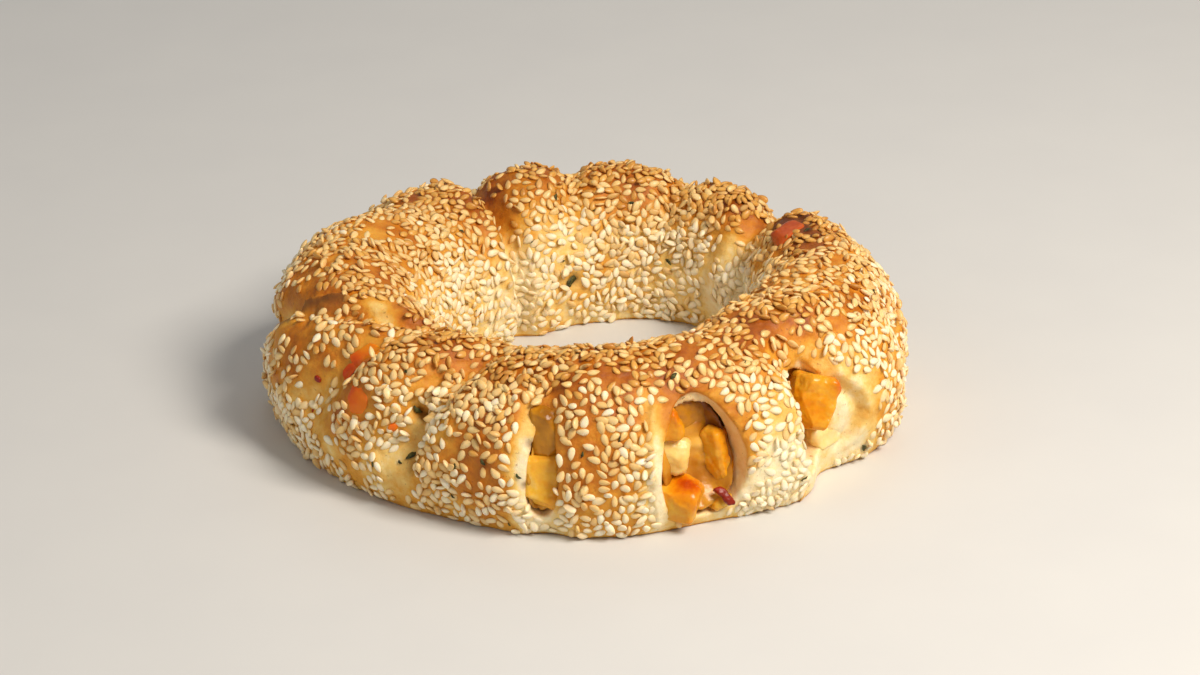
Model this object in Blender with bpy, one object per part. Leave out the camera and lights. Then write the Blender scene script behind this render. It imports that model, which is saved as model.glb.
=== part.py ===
# A ring of bread rolled round cubes of halloumi, scored on its outer side and coated in sesame seeds.
# The ring lies flat on Z = 0 with its hole round the origin. Azimuth 0 is the right side (+X),
# 90 the back and 270 the front, where three of the scores gape and show the cheese.
# Driving dimensions are in millimetres and degrees.
import math
import random
from collections import namedtuple

import bmesh
import bpy
import numpy as np
from mathutils import Euler, Matrix, Vector
from mathutils.bvhtree import BVHTree

MM = 0.001
CLEARANCE = 0.3  # between two pieces that touch
SHARP_ANGLE = math.radians(40.0)  # edges sharper than this are not shaded smooth

# The rolled dough, measured every 30 degrees of azimuth from 0.
OUTER_RADIUS = (83.0, 78.0, 75.0, 80.0, 82.5, 82.5, 84.5, 79.0, 76.5, 79.5, 81.5, 86.5)
INNER_RADIUS = (43.0, 46.0, 50.0, 43.0, 35.0, 37.0, 39.0, 38.0, 35.0, 36.5, 38.5, 36.0)
CROWN_HEIGHT = (42.5, 38.5, 37.5, 40.5, 40.0, 43.0, 43.0, 40.5, 40.0, 41.0, 42.5, 43.5)
BASE_SHARE = 0.22  # how much of the full oval section the flat base takes off
RING_STEPS = 96
SECTION_STEPS = 17
SWELL = 0.55  # of dough rolled by hand, seven times round the ring
RIPPLE = 0.3  # and thirteen times round it

# A score in the dough: the azimuths it has at the outer foot and at the crown, the section angles
# it runs between (0 outer side, 90 crown, 180 inner side), its half widths in degrees of azimuth
# on its lower and higher side, and how deep its valley is in millimetres.
Score = namedtuple("Score", "foot crown start end low_side high_side depth")
SCORES = {
    "right_side": Score(349, 349, -5, 40, 5.0, 5.0, 2.0),
    "right_back": Score(42, 37, -40, 220, 7.0, 4.5, 5.5),
    "back_right": Score(61, 64, -40, 150, 4.5, 4.5, 3.5),
    "back_middle": Score(92, 93, -40, 150, 4.5, 4.5, 3.6),
    "back_left": Score(119, 118, -40, 220, 6.0, 3.6, 7.2),
    "left_back": Score(148, 145, -40, 75, 4.5, 4.5, 3.5),
    "left_crease": Score(168, 207, -15, 125, 4.0, 6.0, 3.6),
    "left_patch": Score(206, 219, 14, 100, 6.5, 4.5, 4.0),
    "left_valley": Score(231, 243, 10, 100, 6.5, 4.5, 6.4),
    "front_slot": Score(262, 262, -40, 62, 4.0, 4.0, 2.6),
    "front_arch": Score(291, 291, -40, 62, 8.5, 8.5, 1.8),
    "front_right": Score(320, 314, -40, 66, 6.5, 9.0, 9.0),
}

# The tunnel that the cheese filling runs through.
TUNNEL_HEIGHT = 19.0
TUNNEL_HALF_WIDTH = 13.0
TUNNEL_HALF_HEIGHT = 12.0
THINNEST_SIDE = 6.5  # of dough beside the tunnel where the ring is narrow
SCORE_SHARE = 0.8  # how much of a score's valley the tunnel gives way to
TUNNEL_RING_STEPS = 48
TUNNEL_SECTION_STEPS = 8
TUNNEL_RIPPLE = 0.35
FILLING_INSET = 0.8  # under the tunnel's wall
FILLING_DRAWN_BACK = 4.0  # behind a gaping score
CAVITY_SINK = 1.5  # how far a cavity's floor may lie under the tunnel's

# A gaping score: azimuth and height of its middle, half width and half height of the opening
# at the crust and at the inner side of the wall, and the cavity behind it.
Window = namedtuple("Window", "azimuth height crust_width crust_height inner_width inner_height cavity")
WINDOWS = {
    "front_arch": Window(291.2, 19.5, 11.8, 20.0, 8.6, 15.0, (13.0, 14.5, 15.0)),
    "front_slot": Window(261.6, 20.5, 4.8, 15.5, 4.0, 14.0, (7.0, 13.5, 13.5)),
    "front_right": Window(317.0, 21.5, 8.5, 14.5, 7.2, 13.0, (9.5, 14.0, 14.0)),
}
WINDOW_OUTER_RADIUS = 92.0
WINDOW_INNER_RADIUS = 70.0
WINDOW_FLARE = (1.35, 1.3)  # how much wider and higher the funnel is at its outer end
WINDOW_FLOOR = 3.4  # thickness of the dough under an opening
WINDOW_TAPER = 0.18  # how much narrower an opening is at its top, wider at its foot
WINDOW_SIDES = 14
CAVITY_RADIUS = 62.0
CAVITY_REACH = 1.2  # how far along the ring the filling draws back, in cavity half lengths

# Cheese that shows: azimuth, radius and height of its middle; size along the ring, across it
# and upwards; turn about the vertical and two tilts in degrees.
Piece = namedtuple("Piece", "azimuth radius height size turn tilt_along tilt_across")
LOOSE_CHEESE = {
    "cheese_arch_upper_left": Piece(286.2, 71.8, 27.8, (6.0, 4.8, 8.0), -12, -4, 0),
    "cheese_arch_upper": Piece(293.2, 65.0, 27.2, (11.0, 6.6, 9.4), 8, 6, -4),
    "cheese_arch_middle_left": Piece(287.0, 71.0, 18.2, (7.4, 6.0, 7.6), -26, 8, -6),
    "cheese_arch_middle": Piece(292.2, 64.0, 15.6, (7.0, 6.0, 8.6), -10, -5, 0),
    "cheese_arch_right": Piece(295.3, 72.5, 16.2, (6.2, 6.2, 11.8), 32, 10, -6),
    "cheese_arch_front": Piece(287.2, 75.2, 8.5, (9.4, 9.4, 8.2), -34, 6, 10),
    "cheese_arch_floor": Piece(296.0, 74.0, 5.4, (6.6, 6.4, 2.4), 12, 0, -4),
    "cheese_slot_upper": Piece(262.2, 68.4, 26.6, (6.6, 6.6, 9.6), -6, 0, -8),
    "cheese_slot_lower": Piece(260.9, 71.4, 14.2, (8.4, 6.8, 12.2), 8, -3, -8),
    "cheese_right_cube": Piece(318.4, 74.0, 23.2, (10.4, 10.0, 12.6), -40, 8, -12),
    "cheese_right_crumb": Piece(323.4, 73.8, 10.8, (6.2, 4.6, 4.6), -20, -10, 0),
}
CHEESE_BEVEL = 0.8
CORNER_WOBBLE = 0.4  # how far a cube's corner strays from true
POCKET_GROWTH = 2.0 * CLEARANCE  # of the hollow round a piece, to keep the clearance at its bevels

# Cheese set into the crust, held in a pocket of its own shape.
SET_IN_CHEESE = {
    "cheese_left_upper": Piece(216.8, 69.4, 37.0, (4.8, 10.0, 5.0), -22, 0, 30),
    "cheese_left_lower": Piece(214.0, 75.4, 32.2, (3.4, 5.0, 4.2), -22, 0, 42),
    "cheese_left_spot": Piece(220.0, 73.8, 26.0, (5.8, 5.4, 5.6), 20, 14, 20),
    "cheese_crown_right": Piece(16.6, 56.6, 39.4, (6.6, 9.0, 4.6), 20, 0, 0),
}

# A curl of dark toasted cheese hanging over the arch's floor: its middle line and its width.
CURL_LINE = ((294.0, 76.8, 9.8), (294.6, 78.0, 9.2), (295.4, 79.2, 8.0), (296.4, 80.2, 6.2))
CURL_WIDTH = 2.6
CURL_THICKNESS = 0.9
CURL_TILT = (25.0, 65.0)  # in degrees at its upper and its hanging end
CURL_NARROWING = 0.35  # share of the width that is lost at the hanging end

# Sesame seeds: the largest of the coat, spread evenly.
SEED_LENGTH = 3.6
SEED_WIDTH = 2.1
SEED_THICKNESS = 1.3
SEED_COUNT = 185
SEED_SPACING = 10.8
SEED_SINK = 0.15  # how far a seed's middle lies over the crust, in seed thicknesses
SEED_LOWEST = 4.0  # over the table
SEED_SECTIONS = (-34.0, 214.0)  # the section angles that seeds lie between
SEED_TRIES = 60  # draws for each seed that is wanted
SEED_DRAW = 7

# Stretches of bare dough, as azimuth and section angle of the middle, and half widths in degrees.
BARE = (
    (291, 10, 14.5, 72),
    (262, 20, 6.5, 52),
    (319, 12, 12.5, 62),
    (197, 62, 14.0, 12),
    (180, 28, 8.0, 14),
    (220, 62, 9.0, 26),
    (229, 20, 6.0, 24),
    (349, 10, 4.0, 20),
    (118, 70, 4.0, 60),
    (34, 100, 7.0, 26),
    (42, 175, 5.0, 50),
)


def clear_scene():
    for obj in list(bpy.data.objects):
        bpy.data.objects.remove(obj, do_unlink=True)


def make_material(name, colour, roughness):
    material = bpy.data.materials.new(name)
    material.use_nodes = True
    shader = material.node_tree.nodes["Principled BSDF"]
    shader.inputs["Base Color"].default_value = (*colour, 1.0)
    shader.inputs["Roughness"].default_value = roughness
    shader.inputs["Metallic"].default_value = 0.0
    return material


def add_object(name, mesh, material):
    obj = bpy.data.objects.new(name, mesh)
    bpy.context.scene.collection.objects.link(obj)
    mesh.materials.append(material)
    mesh.shade_smooth()
    mesh.set_sharp_from_angle(angle=SHARP_ANGLE)
    return obj


def between(low, high, value):
    """A smooth step from 0 at low to 1 at high."""
    share = np.clip((value - low) / (high - low), 0.0, 1.0)
    return share * share * (3.0 - 2.0 * share)


def around(values, azimuth):
    """A smooth closed curve through values set evenly round the ring."""
    table = np.asarray(values, float)
    place = np.mod(azimuth, 360.0) / 360.0 * len(table)
    index = np.floor(place).astype(int)
    share = place - index
    before, start, end, after = (table[(index + step) % len(table)] for step in (-1, 0, 1, 2))
    curve = 3.0 * (start - end) + after - before
    slope = 2.0 * before - 5.0 * start + 4.0 * end - after
    return start + 0.5 * share * (end - before + share * (slope + share * curve))


def score_depth(azimuth, section):
    depth = np.zeros(np.broadcast(azimuth, section).shape)
    for score in SCORES.values():
        path = score.foot + (score.crown - score.foot) * np.clip(section, -40.0, 220.0) / 90.0
        away = np.mod(azimuth - path + 180.0, 360.0) - 180.0
        half_width = np.where(away < 0.0, score.low_side, score.high_side)
        reach = between(score.start - 20.0, score.start, section)
        reach = reach * (1.0 - between(score.end - 18.0, score.end + 18.0, section))
        depth = depth + score.depth * np.exp(-((away / half_width) ** 2)) * reach
    return depth


def unevenness(azimuth, section):
    """The slow swell of dough rolled by hand, in millimetres."""
    turn = np.radians(azimuth)
    side = np.radians(section)
    swell = np.sin(7.0 * turn + 1.3 + 1.5 * np.sin(side)) * np.cos(2.0 * side + 0.6)
    ripple = np.sin(13.0 * turn + 2.0 * side + 0.4)
    return SWELL * swell + RIPPLE * ripple


def dough_points(azimuth, section):
    """Points of the crust in millimetres, from azimuth and section angle in degrees."""
    outer = around(OUTER_RADIUS, azimuth)
    inner = around(INNER_RADIUS, azimuth)
    crown = around(CROWN_HEIGHT, azimuth)
    half_width = (outer - inner) / 2.0
    half_height = crown / (2.0 * (1.0 - BASE_SHARE))
    across = np.cos(np.radians(section))
    upward = np.sin(np.radians(section))
    reach = np.hypot(half_width * across, half_height * upward)
    shrink = 1.0 - (score_depth(azimuth, section) - unevenness(azimuth, section)) / reach
    radius = (outer + inner) / 2.0 + half_width * across * shrink
    height = half_height * (1.0 - 2.0 * BASE_SHARE + upward * np.where(upward > 0.0, shrink, 1.0))
    turn = np.radians(azimuth)
    return np.stack([radius * np.cos(turn), radius * np.sin(turn), height], axis=-1)


def closed_grid(points, name):
    """A mesh from points[ring step][section step], closed both ways, faces outward."""
    rings, steps = points.shape[:2]
    index = np.arange(rings * steps).reshape(rings, steps)
    following = np.roll(index, -1, axis=0)
    above = np.roll(index, -1, axis=1)
    above_following = np.roll(following, -1, axis=1)
    faces = np.stack([index, following, above_following, above], axis=-1).reshape(-1, 4)
    mesh = bpy.data.meshes.new(name)
    mesh.from_pydata((points.reshape(-1, 3) * MM).tolist(), [], faces.tolist())
    mesh.update()
    return mesh


def dough_mesh():
    foot = math.degrees(math.asin(1.0 - 2.0 * BASE_SHARE))
    azimuth = np.linspace(0.0, 360.0, RING_STEPS, endpoint=False)[:, None]
    section = np.linspace(-foot, 180.0 + foot, SECTION_STEPS)[None, :]
    points = dough_points(azimuth + 0.0 * section, section + 0.0 * azimuth)
    points[:, 0, 2] = 0.0
    points[:, -1, 2] = 0.0
    return closed_grid(points, "dough")


def window_depth(azimuth):
    """How far the filling draws back behind the gaping scores, in millimetres."""
    depth = 0.0 * azimuth
    for window in WINDOWS.values():
        half_width = math.degrees(window.cavity[0] / CAVITY_RADIUS) * CAVITY_REACH
        away = np.mod(azimuth - window.azimuth + 180.0, 360.0) - 180.0
        depth = depth + FILLING_DRAWN_BACK * np.exp(-((away / half_width) ** 2))
    return depth


def tunnel_mesh(name, inset, drawn_back):
    """The tube of the filling, made smaller all round by inset."""
    azimuth = np.linspace(0.0, 360.0, TUNNEL_RING_STEPS, endpoint=False)[:, None]
    section = np.linspace(0.0, 360.0, TUNNEL_SECTION_STEPS, endpoint=False)[None, :]
    turn = np.radians(azimuth)
    side = np.radians(section)
    outer = around(OUTER_RADIUS, azimuth)
    inner = around(INNER_RADIUS, azimuth)
    ripple = TUNNEL_RIPPLE * np.sin(11.0 * turn + 3.0 * side)
    give = ripple - SCORE_SHARE * score_depth(azimuth, section) - inset
    half_width = np.minimum(TUNNEL_HALF_WIDTH, (outer - inner) / 2.0 - THINNEST_SIDE) + give
    half_height = TUNNEL_HALF_HEIGHT + give
    pulled = drawn_back * window_depth(azimuth) * np.clip(np.cos(side), 0.0, 1.0)
    radius = (outer + inner) / 2.0 + half_width * np.cos(side) - pulled
    height = TUNNEL_HEIGHT + half_height * np.sin(side)
    points = np.stack([radius * np.cos(turn), radius * np.sin(turn), height], axis=-1)
    return closed_grid(points, name)


def ring_frame(azimuth, radius, height):
    """A frame at a point of the ring: X along it, Y towards the hole, Z up, in metres."""
    turn = math.radians(azimuth)
    inward = Vector((-math.cos(turn), -math.sin(turn), 0.0))
    along = Vector((-math.sin(turn), math.cos(turn), 0.0))
    frame = Matrix((along, inward, Vector((0.0, 0.0, 1.0)))).transposed().to_4x4()
    frame.translation = (Vector((0.0, 0.0, height)) - inward * radius) * MM
    return frame


def arch_outline(half_width, half_height):
    """An egg-shaped outline, narrower at the top, as pairs along the ring and upward."""
    points = []
    for step in range(WINDOW_SIDES):
        angle = 2.0 * math.pi * step / WINDOW_SIDES
        taper = 1.0 - WINDOW_TAPER * math.sin(angle)
        points.append((half_width * math.cos(angle) * taper, half_height * math.sin(angle)))
    return points


def window_cutter(name, window):
    """A funnel through the dough wall, wide at the crust."""
    mesh = bmesh.new()
    loops = []
    wide, high = WINDOW_FLARE
    sizes = (
        (WINDOW_INNER_RADIUS, window.inner_width, window.inner_height),
        (WINDOW_OUTER_RADIUS, window.crust_width * wide, window.crust_height * high),
    )
    for radius, half_width, half_height in sizes:
        frame = ring_frame(window.azimuth, radius, window.height)
        outline = arch_outline(half_width, half_height)
        floor = WINDOW_FLOOR - window.height
        corners = [Vector((x, 0.0, max(z, floor))) * MM for x, z in outline]
        loops.append([mesh.verts.new(frame @ corner) for corner in corners])
    mesh.faces.new(reversed(loops[0]))
    mesh.faces.new(loops[1])
    for step in range(WINDOW_SIDES):
        following = (step + 1) % WINDOW_SIDES
        mesh.faces.new((loops[0][step], loops[0][following], loops[1][following], loops[1][step]))
    bmesh.ops.recalc_face_normals(mesh, faces=mesh.faces)
    return finish_mesh(mesh, name)


def cavity_cutter(name, window):
    """The hollow behind a gaping score, an egg lying in the wall."""
    mesh = bmesh.new()
    bmesh.ops.create_uvsphere(mesh, u_segments=14, v_segments=8, radius=MM)
    frame = ring_frame(window.azimuth, CAVITY_RADIUS, TUNNEL_HEIGHT)
    for vert in mesh.verts:
        along, across, up = (vert.co[axis] * window.cavity[axis] for axis in range(3))
        vert.co = frame @ Vector((along, across, max(up, -(TUNNEL_HALF_HEIGHT + CAVITY_SINK) * MM)))
    return finish_mesh(mesh, name)


def finish_mesh(work, name):
    mesh = bpy.data.meshes.new(name)
    work.to_mesh(mesh)
    work.free()
    return mesh


def piece_frame(piece):
    place = ring_frame(piece.azimuth, piece.radius, piece.height)
    tilt = Euler(
        (math.radians(piece.tilt_across), math.radians(piece.tilt_along), math.radians(piece.turn))
    )
    return place @ tilt.to_matrix().to_4x4()


def cheese_block(name, piece, grow):
    """A cube cut by hand: its corners stray a little, its edges are rounded."""
    draw = random.Random(name)
    mesh = bmesh.new()
    bmesh.ops.create_cube(mesh, size=1.0)
    for vert in mesh.verts:
        stray = Vector([draw.uniform(-CORNER_WOBBLE, CORNER_WOBBLE) for _ in range(3)])
        size = [side + 2.0 * grow for side in piece.size]
        vert.co = (Vector([vert.co[axis] * size[axis] for axis in range(3)]) + stray) * MM
    bmesh.ops.bevel(mesh, geom=list(mesh.edges), offset=CHEESE_BEVEL * MM, segments=1, profile=0.5,
                    affect="EDGES", clamp_overlap=True)
    bmesh.ops.transform(mesh, matrix=piece_frame(piece), verts=mesh.verts)
    bmesh.ops.recalc_face_normals(mesh, faces=mesh.faces)
    return finish_mesh(mesh, name)


def curl_mesh(name):
    """A flat strip swept along the curl's middle line."""
    mesh = bmesh.new()
    loops = []
    last = len(CURL_LINE) - 1
    for step, (azimuth, radius, height) in enumerate(CURL_LINE):
        frame = ring_frame(azimuth, radius, height)
        share = step / last
        tilt_angle = CURL_TILT[0] + (CURL_TILT[1] - CURL_TILT[0]) * share
        tilt = Matrix.Rotation(math.radians(tilt_angle), 4, "X")
        half_width = CURL_WIDTH / 2.0 * (1.0 - CURL_NARROWING * share)
        half_thickness = CURL_THICKNESS / 2.0
        corners = ((-1, -1), (1, -1), (1, 1), (-1, 1))
        loop = []
        for across, up in corners:
            corner = Vector((across * half_width, 0.0, up * half_thickness)) * MM
            loop.append(mesh.verts.new(frame @ tilt @ corner))
        loops.append(loop)
    mesh.faces.new(reversed(loops[0]))
    mesh.faces.new(loops[-1])
    for low, high in zip(loops, loops[1:]):
        for side in range(4):
            following = (side + 1) % 4
            mesh.faces.new((low[side], low[following], high[following], high[side]))
    bmesh.ops.recalc_face_normals(mesh, faces=mesh.faces)
    return finish_mesh(mesh, name)


def is_bare(azimuth, section):
    for middle, height, half_width, half_height in BARE:
        away = (azimuth - middle + 180.0) % 360.0 - 180.0
        if (away / half_width) ** 2 + ((section - height) / half_height) ** 2 < 1.0:
            return True
    return False


def crust_frame(crust, point, spin):
    """A frame on the crust with Z along its outward normal, turned by spin about it."""
    here, normal, _, _ = crust.find_nearest(Vector(point.tolist()) * MM)
    frame = normal.to_track_quat("Z", "Y").to_matrix().to_4x4()
    frame.translation = here
    return frame @ Matrix.Rotation(spin, 4, "Z")


def seed_mesh():
    """A sesame seed: a flat drop with a blunt and a pointed end."""
    outline = ((1.0, 0.0), (0.35, 0.72), (-0.55, 0.98), (-1.0, 0.0), (-0.55, -0.98), (0.35, -0.72))
    mesh = bmesh.new()
    rim = []
    for along, across in outline:
        corner = Vector((along * SEED_LENGTH / 2.0, across * SEED_WIDTH / 2.0, 0.0))
        rim.append(mesh.verts.new(corner * MM))
    top = mesh.verts.new(Vector((-0.2, 0.0, SEED_THICKNESS / 2.0)) * MM)
    under = mesh.verts.new(Vector((-0.2, 0.0, -SEED_THICKNESS / 2.0)) * MM)
    for step in range(len(rim)):
        following = rim[(step + 1) % len(rim)]
        mesh.faces.new((rim[step], following, top))
        mesh.faces.new((following, rim[step], under))
    return finish_mesh(mesh, "sesame_seed")


def scatter_seeds(dough):
    """Places of the seeds, no two nearer than the spacing, each as a frame on the crust."""
    crust = BVHTree.FromObject(dough, bpy.context.evaluated_depsgraph_get())
    draw = random.Random(SEED_DRAW)
    lift = Matrix.Translation((0.0, 0.0, SEED_SINK * SEED_THICKNESS * MM))
    places = []
    frames = []
    for _ in range(SEED_TRIES * SEED_COUNT):
        azimuth = draw.uniform(0.0, 360.0)
        section = draw.uniform(*SEED_SECTIONS)
        spin = draw.uniform(0.0, 2.0 * math.pi)
        keep = draw.random()
        if len(frames) == SEED_COUNT:
            break
        point = dough_points(np.array(azimuth), np.array(section))
        radius = float(np.hypot(point[0], point[1]))
        if keep > radius / max(OUTER_RADIUS):
            continue
        if point[2] < SEED_LOWEST or is_bare(azimuth, section):
            continue
        if places and np.linalg.norm(np.array(places) - point, axis=1).min() < SEED_SPACING:
            continue
        places.append(point)
        frames.append(crust_frame(crust, point, spin) @ lift)
    return frames


def apply_booleans(obj, steps):
    """Joins or cuts with each (operation, collection) in turn, then keeps only the result."""
    for operation, collection in steps:
        modifier = obj.modifiers.new(operation.lower(), "BOOLEAN")
        modifier.operation = operation
        modifier.operand_type = "COLLECTION"
        modifier.collection = collection
        modifier.solver = "MANIFOLD"
    graph = bpy.context.evaluated_depsgraph_get()
    result = bpy.data.meshes.new_from_object(obj.evaluated_get(graph))
    obj.modifiers.clear()
    obj.data = result
    result.shade_smooth()
    result.set_sharp_from_angle(angle=SHARP_ANGLE)
    for _, collection in steps:
        for tool in list(collection.objects):
            bpy.data.objects.remove(tool, do_unlink=True)
        bpy.data.collections.remove(collection)


def tool_collection(name, meshes):
    collection = bpy.data.collections.new(name)
    bpy.context.scene.collection.children.link(collection)
    for number, (mesh, frame) in enumerate(meshes):
        tool = bpy.data.objects.new(f"{name}_{number}", mesh)
        tool.matrix_world = frame
        tool.hide_render = True
        tool.display_type = "WIRE"
        collection.objects.link(tool)
    return collection


def build_bread(material):
    bread = add_object("bread_ring", dough_mesh(), material)
    here = Matrix.Identity(4)
    seed = seed_mesh()
    seeds = tool_collection("seeds", [(seed, frame) for frame in scatter_seeds(bread)])
    cuts = [(tunnel_mesh("tunnel", 0.0, 0.0), here)]
    for name, window in WINDOWS.items():
        cuts.append((window_cutter(name, window), here))
        cuts.append((cavity_cutter(name, window), here))
    openings = [tool_collection(f"cut_{number}", [cut]) for number, cut in enumerate(cuts)]
    steps = [("UNION", seeds)] + [("DIFFERENCE", opening) for opening in openings]
    apply_booleans(bread, steps + [("DIFFERENCE", pocket) for pocket in pockets()])


def pockets():
    """A hollow round each piece of cheese, one collection each."""
    here = Matrix.Identity(4)
    pieces = {**LOOSE_CHEESE, **SET_IN_CHEESE}
    return [
        tool_collection(f"pocket_{name}", [(cheese_block(name, piece, POCKET_GROWTH), here)])
        for name, piece in pieces.items()
    ]


def build_cheese(golden, toasted, dark):
    filling = tunnel_mesh("halloumi_filling", FILLING_INSET, 1.0)
    apply_booleans(
        add_object("halloumi_filling", filling, golden),
        [("DIFFERENCE", pocket) for pocket in pockets()],
    )
    for name, piece in LOOSE_CHEESE.items():
        add_object(name, cheese_block(name, piece, 0.0), golden)
    for name, piece in SET_IN_CHEESE.items():
        add_object(name, cheese_block(name, piece, 0.0), toasted)
    add_object("cheese_arch_curl", curl_mesh("cheese_arch_curl"), dark)


def main():
    clear_scene()
    crust = make_material("baked_crust", (0.66, 0.37, 0.13), 0.6)
    golden = make_material("golden_halloumi", (0.82, 0.47, 0.07), 0.4)
    toasted = make_material("toasted_halloumi", (0.75, 0.25, 0.04), 0.4)
    dark = make_material("dark_toasted_halloumi", (0.35, 0.05, 0.02), 0.3)
    build_bread(crust)
    build_cheese(golden, toasted, dark)


main()
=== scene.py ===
import math

import bmesh
import bpy
import numpy as np
from mathutils import Matrix, Vector
from mathutils.bvhtree import BVHTree
from mathutils.kdtree import KDTree


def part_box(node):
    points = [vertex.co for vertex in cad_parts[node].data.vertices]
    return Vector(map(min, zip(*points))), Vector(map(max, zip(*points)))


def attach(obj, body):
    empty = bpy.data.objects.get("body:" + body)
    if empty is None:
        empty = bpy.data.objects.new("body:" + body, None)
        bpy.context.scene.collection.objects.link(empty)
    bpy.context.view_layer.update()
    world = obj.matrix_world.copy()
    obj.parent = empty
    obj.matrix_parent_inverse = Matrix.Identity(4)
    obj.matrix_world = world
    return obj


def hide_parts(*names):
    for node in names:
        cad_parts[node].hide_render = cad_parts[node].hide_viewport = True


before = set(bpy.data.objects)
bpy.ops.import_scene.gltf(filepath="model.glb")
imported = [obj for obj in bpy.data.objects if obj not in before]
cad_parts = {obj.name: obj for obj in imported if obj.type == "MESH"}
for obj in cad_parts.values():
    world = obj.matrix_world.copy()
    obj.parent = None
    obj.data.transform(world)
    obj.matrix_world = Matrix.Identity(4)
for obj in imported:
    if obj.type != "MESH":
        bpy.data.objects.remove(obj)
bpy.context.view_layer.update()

mm = 0.001


# Small tools that every piece uses.
def smoothStep(low, high, value):
    share = np.clip((value - low) / (high - low), 0.0, 1.0)
    return share * share * (3.0 - 2.0 * share)


def wrapAngle(angle):
    return np.mod(angle + 180.0, 360.0) - 180.0


def around(values, azimuth):
    # a smooth closed curve through values set evenly round the ring
    table = np.asarray(values, float)
    place = np.mod(azimuth, 360.0) / 360.0 * len(table)
    index = np.floor(place).astype(int)
    share = place - index
    before, start, end, after = (table[(index + step) % len(table)] for step in (-1, 0, 1, 2))
    curve = 3.0 * (start - end) + after - before
    slope = 2.0 * before - 5.0 * start + 4.0 * end - after
    return start + 0.5 * share * (end - before + share * (slope + share * curve))


def softNoise(points, size, seed):
    # smooth noise from -1 to 1 whose bumps are about size millimetres wide
    # (large odd numbers mix the corners of each cell into a value that looks random)
    cell = np.asarray(points, float) / size
    base = np.floor(cell).astype(np.int64)
    share = cell - base
    share = share * share * (3.0 - 2.0 * share)
    total = np.zeros(len(cell))
    for corner in range(8):
        step = np.array([(corner >> axis) & 1 for axis in range(3)])
        key = base + step
        mixed = key[:, 0] * 73856093 ^ key[:, 1] * 19349663 ^ key[:, 2] * 83492791 ^ seed * 26544357
        mixed = (mixed ^ (mixed >> 13)) * 12741261
        value = ((mixed ^ (mixed >> 16)) & 0xFFFF) / 32767.5 - 1.0
        total += value * np.prod(np.where(step == 1, share, 1.0 - share), axis=1)
    return total


def lumpyNoise(points, lumps, seed):
    # noise of several sizes at once: lumps holds the size and the height of each
    return sum(height * softNoise(points, size, seed + level) for level, (size, height) in enumerate(lumps))


def linearColour(hexCode):
    values = [int(hexCode[place:place + 2], 16) / 255.0 for place in (1, 3, 5)]
    return tuple(v / 12.92 if v <= 0.04045 else ((v + 0.055) / 1.055) ** 2.4 for v in values) + (1.0,)


def addNode(material, kind, settings=None, links=None):
    # settings are the node's own fields, its inputs by name or number, or a ramp's stops
    node = material.node_tree.nodes.new(kind)
    for key, value in (settings or {}).items():
        if key == "stops":
            elements = node.color_ramp.elements
            while len(elements) < len(value):
                elements.new(1.0)
            for element, (place, hexCode) in zip(elements, value):
                element.position = place
                element.color = linearColour(hexCode)
        elif isinstance(key, int) or key in node.inputs:
            node.inputs[key].default_value = value
        else:
            setattr(node, key, value)
    for key, (source, output) in (links or {}).items():
        material.node_tree.links.new(source.outputs[output], node.inputs[key])
    return node


def newMaterial(name, settings):
    # a bare Principled material and the place its patterns use: settings are the shader's own inputs
    material = bpy.data.materials.new(name)
    material.use_nodes = True
    shader = material.node_tree.nodes["Principled BSDF"]
    for key, value in settings.items():
        shader.inputs[key].default_value = value
    return material, shader, addNode(material, "ShaderNodeTexCoord")


def link(material, source, output, target, key):
    material.node_tree.links.new(source.outputs[output], target.inputs[key])


def meshObject(name, points, faces, material):
    mesh = bpy.data.meshes.new(name)
    mesh.from_pydata((np.asarray(points) * mm).tolist(), [], faces)
    mesh.update()
    piece = bpy.data.objects.new(name, mesh)
    bpy.context.scene.collection.objects.link(piece)
    if material is not None:
        mesh.materials.append(material)
    mesh.shade_smooth()
    return piece


def vectorsOf(mesh, field):
    flat = np.zeros(len(mesh.vertices) * 3, np.float32)
    mesh.vertices.foreach_get(field, flat)
    return flat.reshape(-1, 3).astype(float)


def pointsAndNormals(mesh):
    return vectorsOf(mesh, "co") / mm, vectorsOf(mesh, "normal")


def movePoints(mesh, points):
    mesh.vertices.foreach_set("co", (np.asarray(points) * mm).astype(np.float32).ravel())
    mesh.update()


def paint(mesh, name, values):
    layer = mesh.attributes.get(name) or mesh.attributes.new(name, "FLOAT", "POINT")
    layer.data.foreach_set("value", np.asarray(values, np.float32))


def applyModifiers(piece):
    graph = bpy.context.evaluated_depsgraph_get()
    made = bpy.data.meshes.new_from_object(piece.evaluated_get(graph))
    piece.modifiers.clear()
    old = piece.data
    piece.data = made
    bpy.data.meshes.remove(old)
    made.shade_smooth()


def remesh(piece, voxel, smoothing=0):
    # an even skin of small faces, then rounded a little
    modifier = piece.modifiers.new("remesh", "REMESH")
    modifier.mode = "VOXEL"
    modifier.voxel_size = voxel * mm
    modifier.use_smooth_shade = True
    if smoothing:
        rounding = piece.modifiers.new("rounding", "SMOOTH")
        rounding.factor = 0.5
        rounding.iterations = smoothing
    applyModifiers(piece)


def cutAway(piece, cutters):
    # takes each closed cutter out of the piece
    for cutter in cutters:
        modifier = piece.modifiers.new("cut", "BOOLEAN")
        modifier.operation = "DIFFERENCE"
        modifier.solver = "MANIFOLD"
        modifier.object = cutter
    applyModifiers(piece)
    for cutter in cutters:
        bpy.data.objects.remove(cutter, do_unlink=True)


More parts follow.
